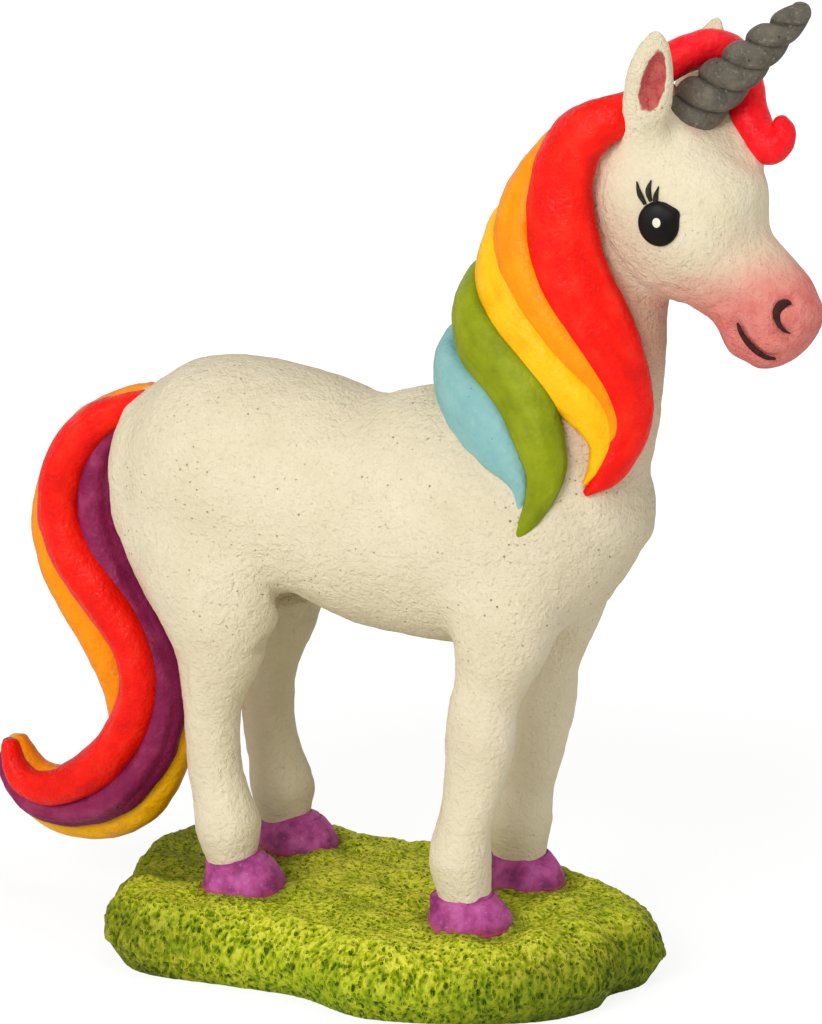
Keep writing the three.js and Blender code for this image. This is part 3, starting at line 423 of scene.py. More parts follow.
class Form:
    """Ellipses carried along a smooth spine. A station has its centre, its half sizes across and deep, and
    the way out, sideways unless given: across lies along the way out, deep square to it and to the spine.
    The ends are domes of the given lengths: a ring at the angle a is moved by the sine of a and drawn in by
    its cosine."""

    def __init__(self, at, across, deep, outs=None, domes=(0.0, 0.0)):
        self.at = np.asarray(at, float)
        self.sizes = np.column_stack([across, deep])
        self.outs = np.tile(SIDEWAYS, (len(self.at), 1)) if outs is None else np.asarray(outs, float)
        self.domes = domes
        fine = curve(self.at, np.linspace(0, 1, 400))
        self.length = np.linalg.norm(np.diff(fine, axis=0), axis=1).sum()

    def sections(self, t):
        """Centre, ways along, out and square to both, and half sizes of the sections at the shares t."""
        along = slope_of(self.at, t)
        out = curve(self.outs, t)
        out = unit(out - (out * along).sum(1, keepdims=True) * along)
        across, deep = curve(self.sizes, t).T
        return curve(self.at, t), along, out, np.cross(along, out), across[:, None], deep[:, None]

    def on_skin(self, t, turn, lift):
        """Point and way out on the skin at the turn, in degrees from the way out, lifted off it. Past the end
        the last section is carried on."""
        centre, along, out, square, across, deep = self.sections(np.minimum(t, 1))
        centre = centre + np.maximum(t - 1, 0)[:, None] * self.length * along
        c, s = np.cos(np.radians(turn))[:, None], np.sin(np.radians(turn))[:, None]
        normal = unit(out * c / across + square * s / deep)
        return centre + out * c * across + square * s * deep + normal * lift[:, None], normal

    def rings(self, steps, sides, dome_steps=8):
        """Rings of the closed skin; the first and the last are the poles. Also each ring's share of the
        length and each side's turn."""
        rise = np.linspace(0, math.pi / 2, dome_steps + 1)[1:]
        t = np.concatenate([np.zeros(dome_steps), np.linspace(0, 1, steps + 1), np.ones(dome_steps)])
        still = np.zeros(steps + 1)
        shift = np.concatenate([-self.domes[0] * np.sin(rise[::-1]), still, self.domes[1] * np.sin(rise)])
        share = np.concatenate([np.cos(rise[::-1]), still + 1, np.cos(rise)])[:, None, None]
        centre, along, out, square, across, deep = (part[:, None] for part in self.sections(t))
        turn = around(sides)
        c, s = np.cos(turn)[:, None] * share, np.sin(turn)[:, None] * share
        return centre + along * shift[:, None, None] + out * across * c + square * deep * s, t, turn


def tube(rings):
    """Points, quads and triangles of closed rings between two poles: quads from ring to ring, triangles at
    the poles."""
    n, m = len(rings) - 2, rings.shape[1]
    points = np.vstack([rings[0].mean(0), rings[1:-1].reshape(-1, 3), rings[-1].mean(0)])
    i, side = np.meshgrid(np.arange(n - 1), np.arange(m), indexing="ij")
    after = (side + 1) % m
    quads = 1 + np.stack([i * m + side, i * m + after, (i + 1) * m + after, (i + 1) * m + side], -1)
    side, after, pole = side[0], after[0], np.full(m, len(points) - 1)
    first = np.stack([pole * 0, 1 + after, 1 + side], -1)
    last = np.stack([pole, pole - m + side, pole - m + after], -1)
    return points, quads.reshape(-1, 4), np.vstack([first, last])


def on_tube(grid):
    """Values given per ring and side, put in the order of a tube's points."""
    return np.vstack([grid[0, :1], grid[1:-1].reshape(-1, 3), grid[-1, :1]])


def stand(name, data):
    """A new object of that data in the scene."""
    thing = bpy.data.objects.new(name, data)
    scene.collection.objects.link(thing)
    return thing


def place(name, mesh, material, replaced=()):
    """The piece of a finished mesh, riding on the one body."""
    mesh.polygons.foreach_set("use_smooth", np.ones(len(mesh.polygons), bool))
    mesh.materials.clear()
    mesh.materials.append(material)
    piece = stand(name, mesh)
    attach(piece, "root")
    if replaced:
        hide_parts(*replaced)


def mark(mesh, name, values):
    """Writes three numbers per point to the mesh, for its material to read."""
    layer = mesh.attributes.new(name, "FLOAT_VECTOR", "POINT")
    layer.data.foreach_set("vector", np.asarray(values, np.float32).ravel())


def cast(name, skin, material, replaced=(), marks=None):
    """The piece of a tube's points, in millimetres, and faces."""
    points, quads, triangles = skin
    mesh = bpy.data.meshes.new(name)
    mesh.from_pydata((points * MM).tolist(), [], quads.tolist() + triangles.tolist())
    for key, values in (marks or {}).items():
        mark(mesh, key, values)
    place(name, mesh, material, replaced)


# Skins merged from tubes


def merged_skin(name, tubes, voxel):
    """The common outer skin of closed tubes that run into each other, as quads on a grid of voxels. Returns
    the mesh, its points in millimetres and its quads."""
    points, faces, start = [], [], 0
    for some, quads, triangles in tubes:
        points.append(some)
        faces += (quads + start).tolist() + (triangles + start).tolist()
        start += len(some)
    rough = bpy.data.meshes.new(name + "_rough")
    rough.from_pydata(np.vstack(points).tolist(), [], faces)
    holder = stand(name + "_rough", rough)
    remesh = holder.modifiers.new("skin", "REMESH")
    remesh.mode, remesh.voxel_size, remesh.adaptivity = "VOXEL", voxel, 0
    mesh = bpy.data.meshes.new_from_object(holder.evaluated_get(bpy.context.evaluated_depsgraph_get()))
    bpy.data.objects.remove(holder)
    bpy.data.meshes.remove(rough)
    mesh.name = name
    co = np.empty(3 * len(mesh.vertices), np.float32)
    mesh.vertices.foreach_get("co", co)
    corners = np.empty(len(mesh.loops), np.int32)
    mesh.loops.foreach_get("vertex_index", corners)
    return mesh, co.reshape(-1, 3).astype(float), corners.reshape(-1, 4)


def normals_of(co, quads):
    """Way out at each point: the sum of the cross products of the diagonals of the quads that meet there."""
    faces = np.cross(co[quads[:, 2]] - co[quads[:, 0]], co[quads[:, 3]] - co[quads[:, 1]])
    corners = quads.ravel()
    return unit(np.stack([np.bincount(corners, np.repeat(faces[:, k], 4), len(co)) for k in range(3)], 1))


def neighbour_means(co, quads):
    """Mean of each point's neighbours along the edges of the quads."""
    a, b = quads.ravel(), quads[:, [1, 2, 3, 0]].ravel()
    total = np.stack([np.bincount(a, co[b, k], len(co)) for k in range(3)], 1)
    return total / np.bincount(a, minlength=len(co))[:, None]


def smoothed(co, quads, rounds):
    """Each point goes half way to the mean of its neighbours, round by round."""
    for _ in range(rounds):
        co = co + 0.5 * (neighbour_means(co, quads) - co)
    return co


def filled(co, quads, weight, rounds):
    """Fillets: round by round, a point in a hollow moves out along its normal to the mean of its neighbours,
    by its weight, and points on rises stay."""
    rounds_per_normal = 10
    for k in range(rounds):
        if k % rounds_per_normal == 0:
            normal = normals_of(co, quads)
        rise = ((neighbour_means(co, quads) - co) * normal).sum(1)
        co = co + (weight * np.maximum(rise, 0))[:, None] * normal
    return co


def finish_skin(mesh, co):
    """Writes the worked points back to a merged skin, in metres."""
    mesh.vertices.foreach_set("co", (co * MM).astype(np.float32).ravel())
    mesh.update()


# Materials


def colour(code):
    """Linear colour of a written sRGB code."""
    c = np.array([int(code[k : k + 2], 16) for k in (0, 2, 4)]) / 255
    return (*np.where(c <= 0.04045, c / 12.92, ((c + 0.055) / 1.055) ** 2.4), 1.0)


class Mix:
    """The nodes of a material or of the surround. A value that is a socket is linked, any other is set."""

    def __init__(self, owner):
        owner.use_nodes = True
        self.tree = owner.node_tree
        self.tree.nodes.clear()

    def node(self, kind, output, values=None, **settings):
        """Adds a node of that kind with its settings and input values, and gives the named output."""
        node = self.tree.nodes.new("ShaderNode" + kind)
        for key, value in settings.items():
            setattr(node, key, value)
        for key, value in (values or {}).items():
            if isinstance(value, bpy.types.NodeSocket):
                self.tree.links.new(value, node.inputs[key])
            else:
                node.inputs[key].default_value = value
        return node.outputs[output]

    def end(self, kind, shader):
        """Ends the tree in the output of that kind."""
        output = self.tree.nodes.new("ShaderNodeOutput" + kind)
        self.tree.links.new(shader, output.inputs["Surface"])


class Finish(Mix):
    """A material being mixed, on the places of the piece's own frame."""

    def __init__(self, name):
        self.material = bpy.data.materials.new(name)
        super().__init__(self.material)
        self.spot = self.node("TexCoord", "Object")

    def mark(self, name):
        """The three numbers that the mesh holds at each point under that name."""
        return self.node("Attribute", "Vector", attribute_name=name)

    def parts(self, vector):
        """The three parts of a vector or colour."""
        split = self.node("SeparateXYZ", "X", {"Vector": vector}).node
        return split.outputs["X"], split.outputs["Y"], split.outputs["Z"]

    def noise(self, size, detail=2.0, at=None, rough=0.5):
        """Noise with features of that size in millimetres."""
        values = {"Vector": at or self.spot, "Scale": 1 / (size * MM), "Detail": detail, "Roughness": rough}
        return self.node("TexNoise", "Fac", values)

    def sum(self, kind, a, b=0.0, c=0.0, clamp=False):
        """One step of arithmetic of that kind on up to three values."""
        return self.node("Math", "Value", {0: a, 1: b, 2: c}, operation=kind, use_clamp=clamp)

    def times(self, a, b):
        """One value times the other."""
        return self.sum("MULTIPLY", a, b)

    def drawn(self, at, shares):
        """Places drawn out by a share along each axis."""
        return self.node("VectorMath", "Vector", {0: at, 1: shares}, operation="MULTIPLY")

    def span(self, value, low, high, to_low=0.0, to_high=1.0):
        """A smooth step from to_low to to_high while the value goes from low to high, held past both."""
        values = {"Value": value, "From Min": low, "From Max": high, "To Min": to_low, "To Max": to_high}
        return self.node("MapRange", "Result", values, interpolation_type="SMOOTHSTEP")

    def ramp(self, value, *stops):
        """Colour between stops of (value, sRGB code), straight from stop to stop."""
        socket = self.node("ValToRGB", "Color", {"Fac": value})
        elements = socket.node.color_ramp.elements
        while len(elements) < len(stops):
            elements.new(0.5)
        for element, (at, code) in zip(elements, stops):
            element.position, element.color = at, colour(code)
        return socket

    def blend(self, share, below, above, kind="MIX"):
        """A share of the colour above laid over the colour below."""
        above = colour(above) if isinstance(above, str) else above
        below = colour(below) if isinstance(below, str) else below
        return self.node("Mix", 2, {0: share, 6: below, 7: above}, data_type="RGBA", blend_type=kind)

    def pores(self, cell, radius, kept):
        """Specks: a round dot in those cells of a Voronoi pattern whose random number is high enough."""
        socket = self.node("TexVoronoi", "Distance", {"Vector": self.spot, "Scale": 1 / (cell * MM)})
        chance = self.parts(socket.node.outputs["Color"])[0]
        dot = self.span(socket, radius, 0.5 * radius)
        return self.times(dot, self.sum("GREATER_THAN", chance, kept))

    def relief(self, *layers):
        """Bump from layers of (height, depth in millimetres), one on top of the other."""
        normal = None
        for height, depth in layers:
            values = {"Height": height, "Distance": depth * MM, "Strength": 1.0}
            if normal is not None:
                values["Normal"] = normal
            normal = self.node("Bump", "Normal", values)
        return normal

    def done(self, base, roughness, normal=None, **values):
        """Ends the mix in one shader with that colour, roughness and relief, and gives the material."""
        inputs = {"Base Color": base, "Roughness": roughness}
        if normal is not None:
            inputs["Normal"] = normal
        inputs.update({key.replace("_", " "): value for key, value in values.items()})
        self.end("Material", self.node("BsdfPrincipled", "BSDF", inputs))
        return self.material


def ear_frame(side):
    """Length, root, way up, way out and way forward across an ear. The left ear is the shorter one."""
    length = (LEFT_EAR_SHARE if side > 0 else 1) * EAR_LENGTH
    root = HEAD_CENTRE + [-0.085 * HEAD_LENGTH, side * 0.37 * HEAD_WIDTH, 0.46 * HEAD_DEPTH]
    up = unit(np.array([0.226, side * 0.27, 0.935]))
    out = np.array([0.35, side, 0])
    out = unit(out - (out @ up) * up)
    return length, root, up, out, -side * np.cross(up, out)


def white_resin():
    """Cream white with a plaster relief, clusters of pores, airbrushed pink and painted shade in dull brown;
    the ears' hollows are brushed rose."""
    f = Finish("white_resin")
    pink, painted_shade, ear = f.parts(f.mark("wash_and_shade"))
    open_skin, coarse, _ = f.parts(f.mark("skin"))
    base = f.ramp(f.noise(9, 4), (0.3, "ddd0b1"), (0.7, "e6dabd"))
    grain = f.noise(0.45, 2, rough=0.6)
    base = f.blend(f.span(grain, 0.42, 0.26, 0, 0.22), base, "cdbf9c")
    # painted shade: the marked undersides, far hind leg, breast, jowl, crown and throat go dull brown
    base = f.blend(f.times(painted_shade, 0.6), base, "b3a27e")
    clusters = f.span(f.noise(6, 2), 0.42, 0.58)
    speck = f.times(f.times(f.pores(0.8, 0.2, 0.62), clusters), open_skin)
    base = f.blend(f.times(speck, 0.65), base, "7c6c4a")
    flush = f.ramp(f.noise(1.6, 3), (0.3, "d2645e"), (0.7, "de8077"))
    base = f.blend(pink, base, flush)
    rose = f.ramp(f.noise(1.2, 3), (0.35, "b04246"), (0.65, "c06058"))
    ragged = f.sum("ADD", ear, f.span(f.noise(1.0, 2), 0.3, 0.7, -0.05, 0.05))
    base = f.blend(f.span(ragged, 0.06, -0.06), base, rose)
    plaster, sand = f.times(f.noise(1.0, 2), coarse), f.times(grain, coarse)
    normal = f.relief((plaster, 0.34), (sand, 0.34), (f.sum("SUBTRACT", 1.0, speck), 0.15))
    return f.done(base, f.span(grain, 0.3, 0.7, 0.62, 0.8), normal, Specular_IOR_Level=0.25)


LAY_UNIT = 1000  # a lock's lay is in millimetres where other places are in metres


def hair_paint(name, deep, plain, light, rough=0.4, specks=0.0):
    """Brushed paint on a lock: soft blotches drawn out along it, and painted shade in the deep tone where it
    meets its neighbours."""
    f = Finish(name)
    lay = f.mark("lay")
    streak = f.noise(LAY_UNIT, 2, at=f.drawn(lay, (0.12, 0.45, 0.0)))
    tone = f.sum("ADD", f.times(streak, 0.5), f.times(f.noise(3, 4), 0.5))
    base = f.ramp(tone, (0.3, deep), (0.5, plain), (0.72, light))
    base = f.blend(0.4, base, plain)
    # painted shade: the lock darkens toward the deep tone at its edges, in the creases between locks
    _, _, across = f.parts(lay)
    base = f.blend(f.span(f.sum("ABSOLUTE", across), 0.8, 1.0, 0, 0.6), base, deep)
    fine = f.noise(0.6, 3)
    if specks:
        base = f.blend(f.times(f.pores(1.3, 0.13, 1 - specks), 0.8), base, "4c4a3a")
    normal = f.relief((streak, 0.12), (f.noise(1.8, 2), 0.22), (fine, 0.2))
    return f.done(base, f.span(fine, 0.3, 0.7, rough - 0.14, rough + 0.06), normal, Specular_IOR_Level=0.14)


def horn_grey():
    """Matt grey paint with painted shade in the winding creases, dusted on the ridges, with casting pores."""
    f = Finish("horn_grey")
    groove, _, _ = f.parts(f.mark("wind"))
    base = f.ramp(f.noise(2.2, 4), (0.3, "4c473e"), (0.7, "6e6759"))
    # painted shade: the winding creases are darkened
    base = f.blend(f.span(groove, 0.5, 1.0, 0, 0.8), base, "3c372f")
    dust = f.noise(0.5, 3)
    base = f.blend(f.span(dust, 0.55, 0.72, 0, 0.5), base, "98917f")
    pore = f.pores(1.1, 0.14, 0.8)
    base = f.blend(f.times(pore, 0.85), base, "231f1b")
    normal = f.relief((f.noise(0.9, 3), 0.42), (dust, 0.14), (f.sum("SUBTRACT", 1.0, pore), 0.15))
    return f.done(base, f.span(dust, 0.3, 0.7, 0.55, 0.75), normal, Specular_IOR_Level=0.3)


def hoof_violet():
    """Violet paint with paler brushed patches and a rusty line where it meets the turf."""
    f = Finish("hoof_violet")
    patch = f.noise(2.2, 4, rough=0.6)
    base = f.ramp(patch, (0.36, "842968"), (0.5, "ac4287"), (0.66, "bc5a9a"))
    rub = f.noise(0.6, 3)
    base = f.blend(f.span(rub, 0.6, 0.76, 0, 0.4), base, "cd8fb6")
    _, _, z = f.parts(f.spot)
    line = f.sum("ADD", z, f.span(f.noise(1.5, 2), 0.3, 0.7, -0.35 * MM, 0.35 * MM))
    base = f.blend(f.span(line, (TURF_TOP + 0.4) * MM, TURF_TOP * MM, 0, 0.5), base, "a8482a")
    normal = f.relief((patch, 0.2), (rub, 0.08))
    return f.done(base, f.span(rub, 0.3, 0.7, 0.5, 0.7), normal, Specular_IOR_Level=0.3)


def turf_green():
    """Stippled grass: yellow-green strands, deep green pits and finer nicks between them, greener low down.
    The nicks lie round the seeds of a Voronoi pattern whose places are bent by noise."""
    f = Finish("turf_green")
    height, shade, low = f.parts(f.mark("grass"))
    drawn = f.drawn(f.spot, (1.0, 1.0, 0.5))
    bent = f.node("TexNoise", "Color", {"Vector": f.spot, "Scale": 1 / (1.0 * MM), "Detail": 1.0})
    bent = f.node("VectorMath", "Vector", {0: bent, 1: (0.5 * MM,) * 3, 2: drawn}, operation="MULTIPLY_ADD")
    nick = f.node("TexVoronoi", "Distance", {"Vector": bent, "Scale": 1 / (0.55 * MM)})
    nick = f.span(nick, 0.45, 0.15)
    fleck = f.noise(0.5, 3, at=drawn, rough=0.6)
    # the grass mark's height holds a painted highlight on upward faces and the mound's middle
    level = f.sum("ADD", height, f.span(fleck, 0.3, 0.7, -0.26, 0.26))
    level = f.sum("SUBTRACT", level, f.times(nick, 0.22))
    base = f.ramp(level, (0.02, "4a5c08"), (0.26, "7e900a"), (0.52, "aab414"), (0.85, "dada46"))
    green = f.ramp(level, (0.02, "3a520a"), (0.3, "6e880e"), (0.75, "a4b41c"))
    patch = f.sum("ADD", low, f.span(f.noise(6, 3), 0.45, 0.7, 0, 0.45), clamp=True)
    base = f.blend(patch, base, green)
    # painted shade and painted shadow from the grass mark darken the colour
    base = f.blend(f.times(shade, 0.75), base, "37450a")
    normal = f.relief((f.sum("SUBTRACT", 1.0, nick), 0.25), (fleck, 0.3))
    return f.done(base, f.span(fleck, 0.3, 0.7, 0.55, 0.8), normal, Specular_IOR_Level=0.1)


def gloss_paint(name, low, high, size, rough, shine):
    """Small brushed features: two tones in streaky patches, with a little relief."""
    f = Finish(name)
    patch = f.noise(size, 3)
    base = f.ramp(patch, (0.35, low), (0.7, high))
    roughness = f.span(patch, 0.3, 0.7, rough, rough + 0.12)
    return f.done(base, roughness, f.relief((patch, 0.03)), Specular_IOR_Level=shine)


# The head


def head_profile(s):
    """Lift, half width and half depth of the head at the distance s along its axis: a curve through the
    stations, drawn in as a quarter ellipse past the first and the last."""
    halves = [HEAD_LENGTH, HEAD_DEPTH / 2, HEAD_WIDTH / 2, HEAD_DEPTH / 2]
    fine = curve(np.array(HEAD) * halves, np.linspace(0, 1, 300))
    inner = np.clip(s, fine[0, 0], fine[-1, 0])
    lift, across, deep = (np.interp(inner, fine[:, 0], fine[:, k]) for k in (1, 2, 3))
    share = np.sqrt(np.clip(1 - ((s - inner) / np.where(s < 0, POLL_DOME, MUZZLE_DOME)) ** 2, 0, 1))
    return lift, across * share, deep * share


def head_rings(steps, sides):
    """Rings of the head: ellipses square to its axis, from the pole at the poll to the pole at the muzzle."""
    ends = HEAD[0][0] * HEAD_LENGTH - POLL_DOME, HEAD[-1][0] * HEAD_LENGTH + MUZZLE_DOME
    s = ends[0] + (ends[1] - ends[0]) * (1 - np.cos(np.linspace(0, math.pi, steps + 1))) / 2
    lift, across, deep = (part[:, None, None] for part in head_profile(s))
    turn = around(sides)[None, :, None]
    axis = HEAD_CENTRE + s[:, None, None] * HEAD_ALONG
    return axis + (lift + deep * np.sin(turn)) * HEAD_UP + across * np.cos(turn) * SIDEWAYS


def on_cheek(s, up, side, lift=0.0):
    """Point and way out on the side of the head at s along its axis and up square to it: the half width times
    the ellipse's root, and the cross product of its two slopes."""
    nudge = 0.02

    def bare(s, up):
        """Point on the skin itself: the ellipse's root gives the way sideways."""
        centre, across, deep = head_profile(s)
        y = side * across * np.sqrt(np.clip(1 - ((up - centre) / np.maximum(deep, 1e-6)) ** 2, 0, 1))
        return HEAD_CENTRE + s[:, None] * HEAD_ALONG + up[:, None] * HEAD_UP + y[:, None] * SIDEWAYS

    s, up = np.asarray(s, float), np.asarray(up, float)
    slope_s = bare(s + nudge, up) - bare(s - nudge, up)
    slope_up = bare(s, up + nudge) - bare(s, up - nudge)
    normal = side * unit(np.cross(slope_up, slope_s))
    return bare(s, up) + np.reshape(lift, (-1, 1)) * normal, normal


# Strokes on the side of the head: places along its axis and square to it, with half widths, in millimetres
NOSTRIL = [
    (18.1, 3, 0.2),
    (17.65, 2.75, 0.45),
    (17.5, 2.15, 0.6),
    (17.75, 1.4, 0.5),
    (18.3, 0.9, 0.4),
    (19.1, 0.55, 0.3),
    (20, 0.5, 0.2),
    (20.7, 0.7, 0.08),
]
MOUTH = [
    (15.5, -3.2, 0.08),
    (16.1, -3.5, 0.26),
    (16.9, -3.8, 0.32),
    (18.1, -4.05, 0.42),
    (19.5, -4.1, 0.46),
    (20.9, -3.75, 0.36),
    (21.7, -3.25, 0.1),
]
LASHES = {
    "back": [(-2.1, -0.15, 0.24), (-3.45, 0.15, 0.33), (-4.75, 0.8, 0.07)],
    "middle": [(-1.9, 0.6, 0.24), (-3, 1.2, 0.36), (-3.7, 2.2, 0.07)],
    "front": [(-0.95, 0.6, 0.24), (-1.85, 1.4, 0.32), (-2.5, 2.4, 0.07)],
}
# Eye: its middle along and square to the head's axis, the lens's rise and its bulge at the corner; then the
# spark
EYE_SPOT, EYE_CROWN, EYE_WING = (0.72, -0.66), 0.75, 0.14
SPARK_WIDTH, SPARK_HEIGHT, SPARK_CROWN, SPARK_SHIFT = 1.0, 1.2, 0.1, np.array([0.1, 0.74, 0.3])
LASH_THICKNESS, LINE_THICKNESS = 0.2, 0.22


def stroke(rows, side, lift, thickness):
    """A brush stroke on the head: a flat ellipse carried along a curve on its skin."""
    s, up, half = np.array(rows, float).T
    at, out = on_cheek(s, up, side, np.full(len(s), lift))
    return Form(at, np.full(len(s), thickness), half, out, (0.05, 0.05))


def eye_rings(side, wide, tall, crown, wing):
    """Rings of a lens on the cheek, from the pole of its crown over the rim to the pole of its back. A point
    at the radius r and angle a lies at r times the outline's half sizes, which bulge at the outer corner, and
    stands off the cheek by the crown's height times the root of 1 - r^2."""
    front_rings, back_rings, sides = 15, 6, 56
    proud, sunk, corner_turn, corner_width = 0.12, -0.4, 0.55, 0.28
    r = np.concatenate([np.linspace(0, 1, front_rings), np.linspace(1, 0, back_rings)])[:, None]
    front = np.concatenate([np.ones(front_rings), np.zeros(back_rings)])[:, None]
    a = around(sides)[None, :]
    corner = 1 + wing * np.exp(-(((a - corner_turn) / corner_width) ** 2))
    x, z = wide / 2 * corner * r * np.cos(a), tall / 2 * corner * r * np.sin(a)
    s = EYE_SPOT[0] + x * HEAD_ALONG[0] + z * HEAD_ALONG[2]
    up = EYE_SPOT[1] + x * HEAD_UP[0] + z * HEAD_UP[2]
    lens = front * crown * np.sqrt(np.clip(1 - r**2, 0, 1)) + np.where(front > 0, proud, sunk) + 0 * a
    points, _ = on_cheek(s.ravel(), up.ravel(), side, lens.ravel())
    return points.reshape(*s.shape, 3)[:, ::-side]


# The white casting


def stance(end, side):
    """Place along the body where a leg stands. The left hind leg stands further back than the right one."""
    if end == "fore":
        return STANCE_LENGTH / 2
    return -STANCE_LENGTH / 2 - (LEFT_HIND_SETBACK if side > 0 else 0)


def leg_form(end, side):
    """A leg from inside its hoof to inside the torso."""
    up, forward, pull, across, deep = np.array(LEGS[end], float).T
    unit_width = CANNON_WIDTH / 2
    x = stance(end, side) + forward * unit_width
    y = side * (STANCE_WIDTH / 2 - pull * unit_width)
    z = HOOF_TOP + up * (BARREL_HEIGHT - HOOF_TOP)
    return Form(np.column_stack([x, y, z]), across * unit_width, deep * unit_width, domes=(0, unit_width))


def ear_form(side):
    """An ear: a leaf that stands on the head."""
    up, across, deep = np.array(EAR, float).T
    length, root, way_up, out, _ = ear_frame(side)
    at = root + up[:, None] * length * way_up
    outs = np.tile(out, (len(at), 1))
    return Form(at, across * EAR_THICKNESS / 2, deep * EAR_WIDTH / 2, outs, (0, 0.8))


def torso_form():
    """The torso: ellipses along its length, with domes at the rump and the chest."""
    along, rise, across, deep = np.array(TORSO).T
    at = np.column_stack([RUMP_END + along * BODY_LENGTH, 0 * along, BARREL_HEIGHT + rise * BODY_DEPTH / 2])
    domes = (0.075 * BODY_LENGTH, 0.06 * BODY_LENGTH)
    return Form(at, across * BODY_WIDTH / 2, deep * BODY_DEPTH / 2, domes=domes)


def neck_form():
    """The neck: ellipses from inside the torso up to the poll."""
    up, forward, across, deep = np.array(NECK).T
    at = NECK_ROOT + np.column_stack([forward * NECK_REACH, 0 * up, up * NECK_RISE])
    return Form(at, across * NECK_WIDTH / 2, deep * NECK_DEPTH / 2, domes=(0, 0.25 * NECK_WIDTH))


neck = neck_form()

# Where the casting's parts flow into each other: centre, radius and strength of the fillet
FLOWS = [
    ((-29, 9, 57), 20, 1.0),
    ((-29, -9, 57), 20, 1.0),
    ((21, 10, 57), 14, 1.0),
    ((21, -10, 57), 14, 1.0),
    ((22, 0, 76), 26, 1.0),
    ((37, 7, 113), 5, 0.5),
    ((37, -7, 113), 5, 0.5),
    ((45, 4, 112), 6, 0.8),
]
# Presses across the casting, in millimetres: place along and height, reach to the sides as a share of the
# row, where the row starts from the middle, then depth, which fills where it is below 0, and width
ROW_BESIDE = np.linspace(-8, 8, 17)
REAR_PRESSES = [
    (-37.4, 69.5, 0.75, 0, 0.85, 6),
    (-37.6, 61.5, 0.75, 0, 0.4, 4.5),
    (-34.6, 55.2, 1, 4, -1.3, 3.4),
    (-25.2, 38, 1.4, 8, 0.7, 5),
    (-30, 48, 1.4, 8, 0.6, 4),
]
BELLY_PRESSES = [(-14.8, 47.4, 0.9, 0, 2.6, 4.6), (-8.5, 46.9, 0.9, 0, 0.9, 5)]
# Near foreleg's front and the crest, each with the depth and the width of its press
NEAR_SHIN, NEAR_SHIN_PRESS = [(19, -7.3, 19), (20.4, -7.1, 27), (22.4, -6.9, 38)], (1.0, 4.2)
CREST_SPOT, CREST_PRESS = np.array([(32.2, -0.3, 118)]), (0.65, 3)
# Nostril's rim, nostril and mouth: depth and width of their presses
RIM_PRESS, NOSTRIL_PRESS, MOUTH_PRESS = (-0.45, 2.4), (0.7, 0.75), (0.6, 0.75)
# Ear's hollow: its middle up the ear, half height, lean, half width and taper, shift forward and depth
HOLLOW_MIDDLE, HOLLOW_HALF_HEIGHT, HOLLOW_LEAN = 0.57, 4.1, 0.6
HOLLOW_HALF_WIDTH, HOLLOW_TAPER, HOLLOW_SHIFT, HOLLOW_DEPTH = 1.45, 0.9, 0.45, 1.1


def head_places(co):
    """Distances along the head's axis and square to it."""
    return (co - HEAD_CENTRE) @ HEAD_ALONG, (co - HEAD_CENTRE) @ HEAD_UP


def reach_of(co, path):
    """Distance of each point from the nearest of a path's points."""
    return np.sqrt(((co[:, None] - path[None]) ** 2).sum(2).min(1))


def press(co, normal, chosen, path, depth, width):
    """Presses a groove along a path: the chosen points go in by the depth times a bell of their distance."""
    bell = np.exp(-((reach_of(co[chosen], path) / width) ** 2))
    co[chosen] -= depth * bell[:, None] * normal[chosen]


def press_across(co, normal, chosen, rows):
    """Presses rows of places that run from side to side."""
    for x, z, share, start, depth, width in rows:
        beside = ROW_BESIDE[np.abs(ROW_BESIDE) >= start, None]
        press(co, normal, chosen, beside * [0, share, 0] + [x, 0, z], depth, width)


def casting_skin():
    """The common skin of torso, neck, head, legs, ears and the forelock's seat, with fillets where they flow
    together. The rump is flattened under the tail and fuller from there to the thighs, the belly is tucked up
    before them, the near foreleg is slimmer in front, and the crest is let in under the mane."""
    tubes = [tube(torso_form().rings(150, 90)[0]), tube(neck.rings(90, 72)[0]), tube(head_rings(110, 80))]
    for side in SIDES.values():
        tubes += [tube(leg_form(end, side).rings(110, 48)[0]) for end in LEGS]
        tubes.append(tube(ear_form(side).rings(60, 40)[0]))
    tubes.append(tube(seat_form().rings(40, 32)[0]))
    mesh, co, quads = merged_skin("white_casting", tubes, CASTING_VOXEL)
    weight = np.zeros(len(co))
    for centre, radius, strength in FLOWS:
        far = np.linalg.norm(co - np.array(centre), axis=1) / radius
        weight = np.maximum(weight, strength * ease(1.0, 0.6, far))
    co = filled(smoothed(co, quads, 2), quads, weight, FILLET_ROUNDS)
    co = smoothed(co, quads, 2)
    normal = normals_of(co, quads)
    press_across(co, normal, np.flatnonzero(co[:, 0] < -22), REAR_PRESSES)
    belly = np.flatnonzero((normal[:, 2] < -0.35) & (np.abs(co[:, 0]) < 22) & (co[:, 2] > 42))
    press_across(co, normal, belly, BELLY_PRESSES)
    near = np.flatnonzero((co[:, 1] < -2) & (co[:, 0] > 12) & (co[:, 2] < 48))
    press(co, normal, near, curve(NEAR_SHIN, np.linspace(0, 1, 20)), *NEAR_SHIN_PRESS)
    press(co, normal, np.flatnonzero(co[:, 2] > 108), CREST_SPOT, *CREST_PRESS)
    return mesh, smoothed(co, quads, 4), quads


